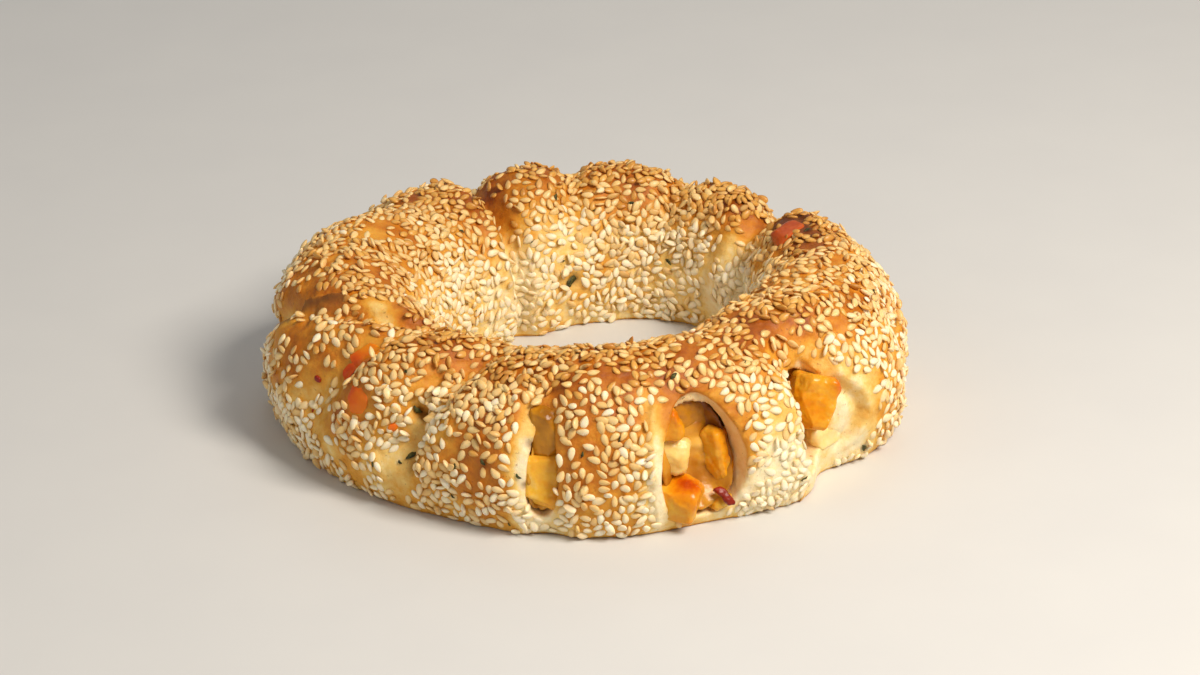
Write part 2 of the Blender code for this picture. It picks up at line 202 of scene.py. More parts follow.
# The roll of dough. Its radii and heights are measured every 30 degrees round the ring.
dough = {
    "outerRadius": (83.0, 78.0, 75.0, 80.0, 82.5, 82.5, 84.5, 79.0, 76.5, 79.5, 81.5, 86.5),
    "innerRadius": (43.0, 46.0, 50.0, 43.0, 35.0, 37.0, 39.0, 38.0, 35.0, 36.5, 38.5, 36.0),
    "crownHeight": (42.5, 38.5, 37.5, 40.5, 40.0, 43.0, 43.0, 40.5, 40.0, 41.0, 42.5, 43.5),
    "baseShare": 0.22,       # of the full oval section, lost to the flat base
    "swell": 0.55,           # seven times round the ring
    "ripple": 0.3,           # thirteen times round it
    "rollRadius": 23.0,      # of the section on average, for lengths over the roll
    "ringSteps": 640,
    "sectionSteps": 150,
    "voxel": 0.62,
    "lumps": ((9.0, 0.3), (3.6, 0.18), (1.6, 0.09)),   # size and height of the crust's own relief
}

# A score: azimuth at the foot and at the crown, section angles it runs between, half widths on its
# lower and higher side, depth. These are the valleys that the solid has too.
scores = (
    (349, 349, -5, 40, 5.0, 5.0, 2.0),
    (42, 37, -40, 220, 7.0, 4.5, 5.5),
    (61, 64, -40, 150, 4.5, 4.5, 3.5),
    (92, 93, -40, 150, 4.5, 4.5, 3.6),
    (119, 118, -40, 220, 6.0, 3.6, 7.2),
    (148, 145, -40, 75, 4.5, 4.5, 3.5),
    (168, 207, -15, 125, 4.0, 6.0, 3.6),
    (206, 219, 14, 100, 6.5, 4.5, 4.0),
    (231, 243, 10, 100, 6.5, 4.5, 6.4),
    (262, 262, -40, 62, 4.0, 4.0, 2.6),
    (291, 291, -40, 62, 8.5, 8.5, 1.8),
    (320, 314, -40, 66, 6.5, 9.0, 9.0),
)

# A fold in the dough: its path over the crust, the lip on the path's right side (height, width and how
# far it leans over the path), the groove on its left side (depth and width), and dark, how strong the
# shade painted along the groove is. Seen from outside with the crown up, azimuth grows to the right.
folds = {
    "leftFold": {
        "path": ((188.5, 22), (189.5, 36), (190.3, 45), (190.6, 56), (192.6, 63), (196.7, 77), (200.5, 86)),
        "lip": (2.6, 4.5, 2.6), "groove": (2.4, 1.4), "dark": 1.0,
    },
    "leftFoldTop": {
        "path": ((197.0, 90), (198.3, 102), (199.9, 112), (198.4, 120)),
        "lip": (1.2, 3.0, 1.0), "groove": (1.8, 1.3), "dark": 1.0,
    },
    "leftFoldInner": {
        "path": ((197.4, 46), (194.6, 55), (193.6, 60), (195.6, 67)),
        "lip": (0.7, 2.0, 0.4), "groove": (0.9, 1.0), "dark": 0.7,
    },
    "leftValleyEdge": {
        "path": ((238.0, -10), (236.4, -2), (235.4, 10), (235.4, 24), (235.6, 37), (236.0, 50), (236.4, 62),
                 (238.5, 76)),
        "lip": (2.2, 4.0, 1.8), "groove": (2.2, 3.4), "dark": 0.8,
    },
    "backLeftOverhang": {
        "path": ((121, 40), (118.5, 62), (117.5, 82), (118.5, 100), (119.5, 116), (122, 132), (124, 148),
                 (122.5, 168), (121, 188)),
        "lip": (1.6, 4.5, 1.6), "groove": (1.4, 3.2), "dark": 0.7,
    },
    "rightFold": {
        "path": ((323.4, -24), (327.0, -12), (328.6, 2), (327.4, 16), (324.6, 30), (323.0, 40)),
        "lip": (2.4, 2.6, 0.8), "groove": (2.2, 2.6), "dark": 0.06,
    },
    "rightOpeningEdge": {
        "path": ((310.5, 54), (311.6, 34), (312.4, 8), (312.8, -24)),
        "lip": (0.9, 4.0, 1.5), "groove": (0.2, 1.0), "dark": 0.2,
    },
    "archLeftRim": {
        "path": ((282.6, -34), (281.4, -12), (280.9, 14), (281.6, 40), (284.6, 60)),
        "lip": (0.9, 5.0, 0.3), "groove": (0.3, 1.0), "dark": 0.2,
    },
    "slotCrack": {
        "path": ((257.5, 62), (260.6, 61), (263.8, 62.5)),
        "lip": (0.3, 1.5, 0.3), "groove": (1.5, 0.8), "dark": 1.0,
    },
    "crownFold": {
        "path": ((12.0, 91), (18.0, 85), (24.0, 84), (30.0, 88), (36.0, 97)),
        "lip": (1.0, 2.6, 0.5), "groove": (0.9, 1.8), "dark": 0.4,
    },
    "backRightEdge": {
        "path": ((41.0, 60), (41.5, 84), (42.0, 104), (44.0, 124), (47.5, 146), (49.5, 170)),
        "lip": (0.9, 4.0, 0.8), "groove": (0.9, 3.0), "dark": 0.3,
    },
}

# Small holes in the crust: azimuth, section angle, radius and depth.
pits = (
    (258.9, 27, 1.2, 2.4),
    (258.2, 1, 0.9, 1.6),
    (232.6, 37, 2.3, 4.5),
    (234.0, -2, 1.2, 2.0),
    (286.8, -26, 1.0, 1.5),
    (93.8, 178, 1.4, 1.2),
)

# An opening that gapes: azimuth and height of its middle, half width and half height at the crust and
# behind it, half sizes of the hollow behind along the ring, across it and upwards, how much narrower
# the top is than the bottom, and how far it leans to the right.
openings = {
    "frontArch": {"azimuth": 291.2, "height": 19.5, "crust": (11.8, 20.0), "inner": (8.6, 15.0),
                  "hollow": (13.0, 14.5, 15.0), "taper": 0.18, "lean": 0.0},
    "frontSlot": {"azimuth": 261.6, "height": 20.5, "crust": (3.9, 15.5), "inner": (3.4, 14.0),
                  "hollow": (7.0, 13.5, 13.5), "taper": 0.34, "lean": 0.07},
    "frontRight": {"azimuth": 317.0, "height": 21.5, "crust": (8.5, 14.5), "inner": (7.2, 13.0),
                   "hollow": (9.5, 14.0, 14.0), "taper": 0.18, "lean": 0.0},
}
opening = {
    "innerRadius": 70.0, "outerRadius": 92.0, "flare": (1.35, 1.3), "floor": 3.4, "sides": 72,
    "levels": ((0.0, 0.0), (0.25, 0.2), (0.45, 0.42), (0.6, 0.62), (0.75, 0.8), (1.0, 1.0)),  # out, flare
    "tornEdge": 0.45, "tears": (7.0, 4.0, 3.0),      # noise round the edge and outwards, and its size
    "hollowRadius": 62.0, "hollowFloor": -13.5, "hollowSteps": (48, 28),
}
tunnel = {
    "height": 19.0, "halfWidth": 13.0, "halfHeight": 12.0, "thinnestSide": 6.5, "scoreShare": 0.8,
    "ripple": 0.35,          # eleven times round the ring
    "ringSteps": 144, "sectionSteps": 24,
}


def scoreDepth(azimuth, section):
    depth = np.zeros(np.broadcast(azimuth, section).shape)
    for foot, crown, start, end, lowSide, highSide, deep in scores:
        path = foot + (crown - foot) * np.clip(section, -40.0, 220.0) / 90.0
        away = wrapAngle(azimuth - path)
        halfWidth = np.where(away < 0.0, lowSide, highSide)
        reach = smoothStep(start - 20.0, start, section)
        reach = reach * (1.0 - smoothStep(end - 18.0, end + 18.0, section))
        depth = depth + deep * np.exp(-((away / halfWidth) ** 2)) * reach
    return depth


def unevenness(azimuth, section):
    turn, side = np.radians(azimuth), np.radians(section)
    slow = np.sin(7.0 * turn + 1.3 + 1.5 * np.sin(side)) * np.cos(2.0 * side + 0.6)
    return dough["swell"] * slow + dough["ripple"] * np.sin(13.0 * turn + 2.0 * side + 0.4)


def rollSizes(azimuth):
    # middle radius, half width and half height of the roll
    outer, inner = around(dough["outerRadius"], azimuth), around(dough["innerRadius"], azimuth)
    halfHeight = around(dough["crownHeight"], azimuth) / (2.0 * (1.0 - dough["baseShare"]))
    return (outer + inner) / 2.0, (outer - inner) / 2.0, halfHeight


def acrossPath(azimuth, section, path):
    # the signed distance in millimetres from a path over the crust (positive to its right), how far
    # along the path that is, and which way right is there
    middle, halfWidth, _ = rollSizes(azimuth)
    radius = middle + halfWidth * np.cos(np.radians(section))
    nearest = np.full(radius.shape, 1e9)
    signed, along, rightX, rightY = (np.zeros(radius.shape) for _ in range(4))
    for step, (start, end) in enumerate(zip(path, path[1:])):
        x = np.radians(wrapAngle(azimuth - start[0])) * radius
        y = np.radians(section - start[1]) * dough["rollRadius"]
        goX = np.radians(wrapAngle(end[0] - start[0])) * radius
        goY = math.radians(end[1] - start[1]) * dough["rollRadius"]
        length = np.hypot(goX, goY)
        share = np.clip((x * goX + y * goY) / length ** 2, 0.0, 1.0)
        distance = np.hypot(x - share * goX, y - share * goY)
        closer = distance < nearest
        nearest = np.where(closer, distance, nearest)
        signed = np.where(closer, np.where(goY * x - goX * y > 0.0, distance, -distance), signed)
        along = np.where(closer, (step + share) / (len(path) - 1), along)
        rightX = np.where(closer, goY / length, rightX)
        rightY = np.where(closer, -goX / length, rightY)
    return signed, along, rightX, rightY


def foldRelief(azimuth, section):
    # what folds and pits add to the crust, how much painted shade darkens a point in a groove or pit, from
    # 0 to 1, and how far the lips lean over: changes of azimuth and of section angle
    shape = np.broadcast(azimuth, section).shape
    relief, shade, leanAzimuth, leanSection = (np.zeros(shape) for _ in range(4))
    middle, halfWidth, _ = rollSizes(azimuth)
    radius = middle + halfWidth * np.cos(np.radians(section))
    for fold in folds.values():
        signed, along, rightX, rightY = acrossPath(azimuth, section, fold["path"])
        fade = smoothStep(0.0, 0.18, along) * (1.0 - smoothStep(0.82, 1.0, along))
        lipHeight, lipWidth, overhang = fold["lip"]
        grooveDepth, grooveWidth = fold["groove"]
        beside = np.exp(-np.maximum(signed, 0.0) / lipWidth)
        lip = lipHeight * smoothStep(-0.2, 0.7, signed) * beside
        hollow = np.exp(-((np.minimum(signed, 0.0) / grooveWidth) ** 2))
        groove = grooveDepth * smoothStep(-0.9, 0.2, -signed) * hollow
        relief = relief + fade * (lip - groove)
        lean = -overhang * fade * smoothStep(-0.7, 0.6, signed) * beside
        leanAzimuth = leanAzimuth + np.degrees(rightX * lean / radius)
        leanSection = leanSection + np.degrees(rightY * lean / dough["rollRadius"])
        # painted shade along the groove side of each fold, as strong as its dark value
        shade = np.maximum(shade, fade * np.exp(-((signed + 0.5) / 1.0) ** 2) * fold["dark"])
    for pitAzimuth, pitSection, pitRadius, pitDepth in pits:
        x = np.radians(wrapAngle(azimuth - pitAzimuth)) * radius
        y = np.radians(section - pitSection) * dough["rollRadius"]
        near = np.exp(-((np.hypot(x, y) / pitRadius) ** 2))
        relief = relief - pitDepth * near
        # painted shade in the pit
        shade = np.maximum(shade, near)
    return relief, shade, leanAzimuth, leanSection


def crustPoints(azimuth, section, raised=0.0):
    middle, halfWidth, halfHeight = rollSizes(azimuth)
    across, upward = np.cos(np.radians(section)), np.sin(np.radians(section))
    reach = np.hypot(halfWidth * across, halfHeight * upward)
    out = raised + unevenness(azimuth, section) - scoreDepth(azimuth, section)
    stretch = 1.0 + out / reach
    radius = middle + halfWidth * across * stretch
    height = halfHeight * (1.0 - 2.0 * dough["baseShare"] + upward * np.where(upward > 0.0, stretch, 1.0))
    turn = np.radians(azimuth)
    return np.stack([radius * np.cos(turn), radius * np.sin(turn), height], axis=-1)


def ringPlace(points):
    # azimuth, section angle and depth under the smooth crust of points given in millimetres
    azimuth = np.degrees(np.arctan2(points[:, 1], points[:, 0])) % 360.0
    radius = np.hypot(points[:, 0], points[:, 1])
    middle, halfWidth, halfHeight = rollSizes(azimuth)
    across = (radius - middle) / halfWidth
    upward = points[:, 2] / halfHeight - 1.0 + 2.0 * dough["baseShare"]
    section = np.degrees(np.arctan2(upward, across))
    section = np.where(section < -90.0, section + 360.0, section)
    reach = np.hypot(halfWidth * np.cos(np.radians(section)), halfHeight * np.sin(np.radians(section)))
    out = unevenness(azimuth, section) - scoreDepth(azimuth, section)
    depth = (1.0 + out / reach - np.hypot(across, upward)) * reach
    return azimuth, section, depth


def closedGrid(points):
    # points[ring step][section step] to points and faces, closed both ways
    rings, steps = points.shape[:2]
    index = np.arange(rings * steps).reshape(rings, steps)
    following, above = np.roll(index, -1, axis=0), np.roll(index, -1, axis=1)
    faces = np.stack([index, following, np.roll(following, -1, axis=1), above], axis=-1)
    return points.reshape(-1, 3), faces.reshape(-1, 4).tolist()


def ringFrame(azimuth, radius, height):
    # X along the ring, Y towards the hole, Z up, in millimetres
    turn = math.radians(azimuth)
    along = Vector((-math.sin(turn), math.cos(turn), 0.0))
    inward = Vector((-math.cos(turn), -math.sin(turn), 0.0))
    place = Matrix((along, inward, Vector((0.0, 0.0, 1.0)))).transposed().to_4x4()
    place.translation = Vector((0.0, 0.0, height)) - inward * radius
    return place


def openingRing(values, radius, halfWidth, halfHeight, lowest, torn=0.0):
    # one ring of points round an opening, at a distance from the ring's axis
    angles = np.arange(opening["sides"]) / opening["sides"] * 2.0 * math.pi
    x = (halfWidth + torn) * np.cos(angles) * (1.0 - values["taper"] * np.sin(angles))
    z = np.maximum((halfHeight + torn) * np.sin(angles), lowest - values["height"])
    local = np.stack([x + values["lean"] * z, np.zeros(len(z)), z, np.ones(len(z))], axis=-1)
    return (local @ np.array(ringFrame(values["azimuth"], radius, values["height"])).T)[:, :3]


def outward(piece):
    work = bmesh.new()
    work.from_mesh(piece.data)
    bmesh.ops.recalc_face_normals(work, faces=work.faces)
    work.to_mesh(piece.data)
    work.free()
    return piece


def tube(name, rings, material):
    # a skin over rings of points, with a cap at each end
    sides = len(rings[0])
    faces = [list(range(sides)), list(range((len(rings) - 1) * sides, len(rings) * sides))]
    for level in range(len(rings) - 1):
        low, high = level * sides, (level + 1) * sides
        for side in range(sides):
            following = (side + 1) % sides
            faces.append([low + side, low + following, high + following, high + side])
    return outward(meshObject(name, np.concatenate(rings), faces, material))


def openingCutter(name, values, seed):
    # a funnel with a torn, rounded edge, wide at the crust
    (crustWidth, crustHeight), (innerWidth, innerHeight) = values["crust"], values["inner"]
    wide, high = opening["flare"]
    roundEdge, outwards, size = opening["tears"]
    angles = np.arange(opening["sides"]) / opening["sides"] * 2.0 * math.pi
    rings = []
    for level, opened in opening["levels"]:
        radius = opening["innerRadius"] + (opening["outerRadius"] - opening["innerRadius"]) * level
        halfWidth = innerWidth + (crustWidth * wide - innerWidth) * opened
        halfHeight = innerHeight + (crustHeight * high - innerHeight) * opened
        edge = np.stack([np.cos(angles) * roundEdge, np.sin(angles) * roundEdge,
                         np.full(len(angles), radius / outwards)], axis=-1)
        torn = opening["tornEdge"] * softNoise(edge, size, seed)
        rings.append(openingRing(values, radius, halfWidth, halfHeight, opening["floor"], torn))
    return tube(name, rings, None)


def hollowCutter(name, values):
    # the egg-shaped hollow behind an opening
    work = bmesh.new()
    along, upwards = opening["hollowSteps"]
    bmesh.ops.create_uvsphere(work, u_segments=along, v_segments=upwards, radius=1.0)
    place = ringFrame(values["azimuth"], opening["hollowRadius"], tunnel["height"])
    for vert in work.verts:
        local = Vector([vert.co[axis] * values["hollow"][axis] for axis in range(3)])
        local.z = max(local.z, opening["hollowFloor"])
        vert.co = (place @ local) * mm
    mesh = bpy.data.meshes.new(name)
    work.to_mesh(mesh)
    work.free()
    cutter = bpy.data.objects.new(name, mesh)
    bpy.context.scene.collection.objects.link(cutter)
    return cutter


def tunnelCutter():
    azimuth = np.linspace(0.0, 360.0, tunnel["ringSteps"], endpoint=False)[:, None]
    section = np.linspace(0.0, 360.0, tunnel["sectionSteps"], endpoint=False)[None, :]
    turn, side = np.radians(azimuth), np.radians(section)
    middle, halfWidth, _ = rollSizes(azimuth)
    give = tunnel["ripple"] * np.sin(11.0 * turn + 3.0 * side)
    give = give - tunnel["scoreShare"] * scoreDepth(azimuth, section)
    wide = np.minimum(tunnel["halfWidth"], halfWidth - tunnel["thinnestSide"]) + give
    radius = middle + wide * np.cos(side)
    height = tunnel["height"] + (tunnel["halfHeight"] + give) * np.sin(side)
    points = np.stack([radius * np.cos(turn), radius * np.sin(turn), height], axis=-1)
    return meshObject("tunnel", *closedGrid(points), None)


# How the oven coloured the crust, from 0 for pale dough to 1 for dark brown; a few zones are painted
# light and painted shade instead, as marked. A zone adds its change round a place on the crust:
# azimuth, section angle, half widths, change.
browning = {
    "crown": 0.64, "outerSide": 0.47, "innerSide": 0.15, "foot": 0.34, "valley": -0.2,
    "toCrown": (15.0, 75.0), "toFoot": (-30.0, 8.0), "toInside": (110.0, 162.0),     # section angles
    "deepValley": 6.0,       # the depth of a score that takes all of its change
    "patchiness": 0.26, "patches": ((14.0, 0.6), (5.0, 0.4)),                        # size and share
    "zones": (
        (189, 52, 9, 22, -0.04),      # the bare band on the left
        (205, 20, 6, 30, -0.12),      # pale dough under the cheese on the left
        (213, -5, 6, 12, -0.25),
        (204, 96, 7, 9, -0.5),        # cream dough behind the left fold
        (229, -4, 6, 20, -0.34),      # pale foot of the left valley
        (258.3, 18, 2.6, 45, -0.55),  # pale strip beside the slot
        (262, -18, 4, 12, -0.25),
        (318, 5, 12, 40, -0.18),      # pale dough round the right opening
        (326, -4, 6, 30, -0.12),
        (305, -14, 8, 24, -0.75),     # paler foot between the arch and the right opening, whiter still as painted light where the key light falls
        (298.6, 14, 2.5, 40, 0.06),   # warmer right rim of the arch: painted orange light thrown back from the cheese onto the shaded rim
        (282.3, 8, 2.2, 52, -0.5),    # paler left rim of the arch: pale cut dough, paler still as painted light where it faces the key light
        (303, 34, 8, 26, -0.18),      # paler lobe between the arch and the right opening: painted light where the key light falls
        # paler right lobe: painted light where the key light falls
        (346, 30, 14, 30, -0.04),
        (20, 98, 20, 18, 0.46),       # dark crown at the back right
        (165, 84, 22, 26, -0.12),     # lighter at the back left
        (85, 84, 34, 22, 0.16),
        (116, 96, 6, 34, 0.16),       # brown strip in the deep valley at the back left
        (120, 150, 5, 24, -0.05),
        (38, 108, 5, 24, -0.08),
        (195, 26, 8, 26, 0.1),
        (291, -24, 9, 12, -0.3),      # floor of the arch
        (218, 22, 11, 34, 0.2),       # darker lobe left of the left valley: browner crust, with painted shade on this side away from the key light
        (178, 96, 16, 24, -0.14),
        (340, 80, 22, 26, -0.1),
        (278, 84, 34, 26, 0.2),
    ),
}

# Cut dough that cheese ran over: azimuth, section angle, half widths, strength. On the arch's right rim
# the oil is partly painted light, brighter and more orange than the rim's own lighting gives.
oiledRims = ((298.4, 20, 3.8, 50, 0.5), (291.0, -22, 8.0, 14, 0.3), (264.6, 10, 1.6, 40, 0.6))

# Bare dough, without seeds: azimuth and section angle of the middle, half widths.
bareDough = (
    (291.2, 8, 8.4, 52), (283.5, 6, 1.8, 50), (261.6, 15, 3.3, 42), (258.5, 22, 2.1, 34),
    (318, 8, 7.4, 52), (326.8, -2, 3.9, 27), (322, -15, 5, 14), (186, 41, 5.0, 12), (190, 59, 4.8, 9),
    (194, 72, 4.2, 7), (197.6, 47, 2.8, 6), (204, 95, 6.0, 6.5), (201.5, 90, 3.0, 4.5),
    (206.5, 103, 5.0, 3.6), (209, 47, 4.6, 5), (204, 24, 2.2, 16), (211, 2, 3.2, 6), (215, -8, 3.4, 5),
    (220.4, 30, 3.8, 8.0), (215.2, 61, 4.2, 12.0), (212.6, 43, 3.2, 7.0), (234, 62, 1.8, 9),
    (233, 36, 2.4, 9), (232.8, 16, 2.7, 15), (231.2, -8, 4.0, 15), (115.6, 72, 3.0, 14),
    (115.8, 100, 2.9, 16), (117, 125, 2.5, 14), (120.4, 150, 2.3, 16), (120.6, 172, 1.9, 12),
    (37.5, 108, 3.2, 19), (36, 90, 2.8, 9), (46.5, 178, 2.8, 34), (40.5, 142, 2.0, 16),
    (20, 102, 5.5, 6.5), (30, 99, 4.6, 7.5), (12, 93, 4.5, 3.5), (3, 103, 4.0, 3.5),
    (351.5, 81, 3.6, 4.5), (29, 92, 4.0, 3.5), (350.5, 16, 3.2, 11), (93.8, 179, 2.2, 6),
    (61.9, 167, 1.6, 5),
)

# Where seeds lie thinner: azimuth, section angle, half widths, share that is left.
thinSeeds = (
    (189, 28, 15, 34, 0.42), (205, 22, 8, 30, 0.5), (222, -5, 9, 22, 0.7), (251, 0, 9, 42, 0.8),
    (275, -2, 10, 44, 0.74), (20, 96, 18, 19, 0.16), (350, 94, 12, 16, 0.66), (85, 88, 42, 24, 0.6),
    (150, 60, 22, 26, 0.86), (345, 26, 9, 18, 0.62), (240, 90, 30, 14, 0.85),
)


def fromPlace(azimuth, section, middle, height, halfWidth, halfHeight):
    # how far points are from a place on the crust, along and up, in its half widths
    return wrapAngle(azimuth - middle) / halfWidth, (section - height) / halfHeight


def nearness(azimuth, section, *place):
    # 1 at a place on the crust, falling to 0 round it
    across, upward = fromPlace(azimuth, section, *place)
    return np.exp(-(across ** 2 + upward ** 2))


def crustTone(azimuth, section, points):
    side, crown = browning["outerSide"], browning["crown"]
    tone = side + (crown - side) * smoothStep(*browning["toCrown"], section)
    tone = tone + (browning["foot"] - side) * (1.0 - smoothStep(*browning["toFoot"], section))
    tone = tone + (browning["innerSide"] - crown) * smoothStep(*browning["toInside"], section)
    scored = np.clip(scoreDepth(azimuth, section) / browning["deepValley"], 0.0, 1.0)
    tone = tone + browning["valley"] * scored
    for *place, change in browning["zones"]:
        tone = tone + change * nearness(azimuth, section, *place)
    return tone + browning["patchiness"] * lumpyNoise(points, browning["patches"], 5)


def bareness(azimuth, section):
    # 1 well inside a bare patch, 0 outside it
    most = np.zeros(np.shape(azimuth))
    for place in bareDough:
        away = np.hypot(*fromPlace(azimuth, section, *place))
        most = np.maximum(most, 1.0 - smoothStep(0.8, 1.1, away))
    return most


def crustMaterial(settings):
    # Yeast dough brushed with oil and baked: a thin brittle skin, matt and creamy where it stayed pale,
    # browner and a little glossy where it stood up to the heat, with light passing just under it.
    material, shader, place = newMaterial("bakedDough", {
        "Roughness": 0.5, "IOR": 1.4, "Subsurface Weight": settings["glow"],
        "Subsurface Radius": (1.0, 0.55, 0.25), "Subsurface Scale": settings["glowDepth"] * mm,
    })
    baked, cut, groove, stain = (addNode(material, "ShaderNodeAttribute", {"attribute_name": field})
                                 for field in ("baked", "cut", "groove", "stain"))
    blotches, specks, pores = (
        addNode(material, "ShaderNodeTexNoise",
                {"Scale": 1.0 / (size * mm), "Detail": detail, "Roughness": roughness},
                {"Vector": (place, "Object")})
        for size, detail, roughness in (settings["blotches"], settings["specks"], settings["pores"]))
    spread = addNode(material, "ShaderNodeMath",
                     {"operation": "MULTIPLY_ADD", 1: settings["mottle"], 2: -0.5 * settings["mottle"]},
                     {0: (blotches, "Fac")})
    tone = addNode(material, "ShaderNodeMath", {"operation": "ADD", "use_clamp": True},
                   {0: (baked, "Fac"), 1: (spread, 0)})
    skin = addNode(material, "ShaderNodeValToRGB", {"stops": settings["skinColours"]}, {"Fac": (tone, 0)})
    inside = addNode(material, "ShaderNodeValToRGB", {"stops": settings["crumbColours"]},
                     {"Fac": (blotches, "Fac")})
    colour = addNode(material, "ShaderNodeMix", {"data_type": "RGBA"},
                     {0: (cut, "Fac"), 6: (skin, 0), 7: (inside, 0)})
    begins, ends, most = settings["speckShare"]
    few = addNode(material, "ShaderNodeMapRange",
                  {"From Min": begins, "From Max": ends, "To Min": 0.0, "To Max": most},
                  {"Value": (specks, "Fac")})
    # the groove attribute is painted shade in fold grooves and pits, mixed in with the groove shade colour
    tints = ((stain, "Fac", "cheeseStain"), (groove, "Fac", "grooveShadeColour"), (few, 0, "speckColour"))
    for share, output, tint in tints:
        colour = addNode(material, "ShaderNodeMix", {"data_type": "RGBA", 7: linearColour(settings[tint])},
                         {0: (share, output), 6: (colour, 2)})
    dull, glossy = settings["roughness"]
    gloss = addNode(material, "ShaderNodeMapRange",
                    {"From Min": 0.1, "From Max": 0.8, "To Min": dull, "To Max": glossy},
                    {"Value": (tone, 0)})
    link(material, gloss, 0, shader, "Roughness")
    link(material, colour, 2, shader, "Base Color")
    strength, poreDepth = settings["poreRelief"]
    relief = addNode(material, "ShaderNodeBump", {"Strength": strength, "Distance": poreDepth * mm},
                     {"Height": (pores, "Fac")})
    link(material, relief, 0, shader, "Normal")
    return material


crustFinish = {
    "skinColours": ((0.0, "#F8E9C0"), (0.18, "#F1CC78"), (0.38, "#E2A236"), (0.58, "#C97A16"),
                    (0.8, "#A05208"), (1.0, "#6A3206")),
    "crumbColours": ((0.3, "#E2BD7C"), (0.5, "#EFD29A"), (0.7, "#F5DFB0")),
    # the groove colour is the colour of the painted shade in grooves and pits
    "cheeseStain": "#F0AC48", "grooveShadeColour": "#6E421A", "speckColour": "#8A4E1C",
    # size, detail and roughness
    "blotches": (3.0, 4.0, 0.6), "specks": (0.9, 2.0, 0.5), "pores": (0.9, 5.0, 0.65),
    "mottle": 0.5, "speckShare": (0.66, 0.74, 0.5),                 # noise it begins and ends at, most
    "poreRelief": (0.7, 0.34),                                      # strength, depth
    "roughness": (0.62, 0.46), "glow": 0.2, "glowDepth": 1.3,
}
crustPaint = {
    "cutDepth": (0.5, 1.6), "cutLowest": 0.6,        # under the crust; cut dough stands above the table
    "reliefFrom": (0.3, 3.0),                        # heights over which the crust's own relief begins
    "baseHeight": 0.5, "base": 0.42, "baseChange": 0.1, "baseBlotch": 6.0,
    "grooveShade": 0.75,
    "oiledDepth": (4.5, 8.0), "oiled": 0.8,          # the walls of the tunnel
}


def buildBread():
    foot = math.degrees(math.asin(1.0 - 2.0 * dough["baseShare"]))
    azimuth = np.linspace(0.0, 360.0, dough["ringSteps"], endpoint=False)[:, None]
    section = np.linspace(-foot, 180.0 + foot, dough["sectionSteps"])[None, :]
    azimuth, section = azimuth + 0.0 * section, section + 0.0 * azimuth
    relief, _, leanAzimuth, leanSection = foldRelief(azimuth, section)
    points = crustPoints(azimuth + leanAzimuth, section + leanSection, relief)
    points[:, 0, 2] = 0.0
    points[:, -1, 2] = 0.0
    bread = meshObject("baked_dough", *closedGrid(points), crustMaterial(crustFinish))
    cutters = []
    for seed, (name, values) in enumerate(openings.items()):
        cutters += [openingCutter(name, values, seed), hollowCutter(name + "Hollow", values)]
    cutAway(bread, cutters)
    remesh(bread, dough["voxel"], 2)
    cutAway(bread, [tunnelCutter()])
    mesh = bread.data
    points, normals = pointsAndNormals(mesh)
    azimuth, section, depth = ringPlace(points)
    relief, shade, _, _ = foldRelief(azimuth, section)
    under = depth + relief
    height = points[:, 2]
    cut = smoothStep(*crustPaint["cutDepth"], under) * (height > crustPaint["cutLowest"])
    lumps = lumpyNoise(points, dough["lumps"], 20) * smoothStep(*crustPaint["reliefFrom"], height)
    movePoints(mesh, points + normals * lumps[:, None])
    base = crustPaint["base"] + crustPaint["baseChange"] * softNoise(points, crustPaint["baseBlotch"], 8)
    tone = np.where(height < crustPaint["baseHeight"], base, crustTone(azimuth, section, points))
    paint(mesh, "baked", np.clip(tone, 0.0, 1.0))
    paint(mesh, "cut", cut)
    # the groove attribute holds painted shade along folds and in pits, kept off cut dough
    paint(mesh, "groove", np.clip(shade * (1.0 - cut), 0.0, 1.0) * crustPaint["grooveShade"])
    oiled = smoothStep(*crustPaint["oiledDepth"], under) * crustPaint["oiled"]
    for *place, strength in oiledRims:
        oiled = np.maximum(oiled, strength * cut * nearness(azimuth, section, *place))
    paint(mesh, "stain", oiled)
    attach(bread, "root")
    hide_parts("bread_ring")
    print("bread:", len(mesh.polygons), "faces")
    return bread


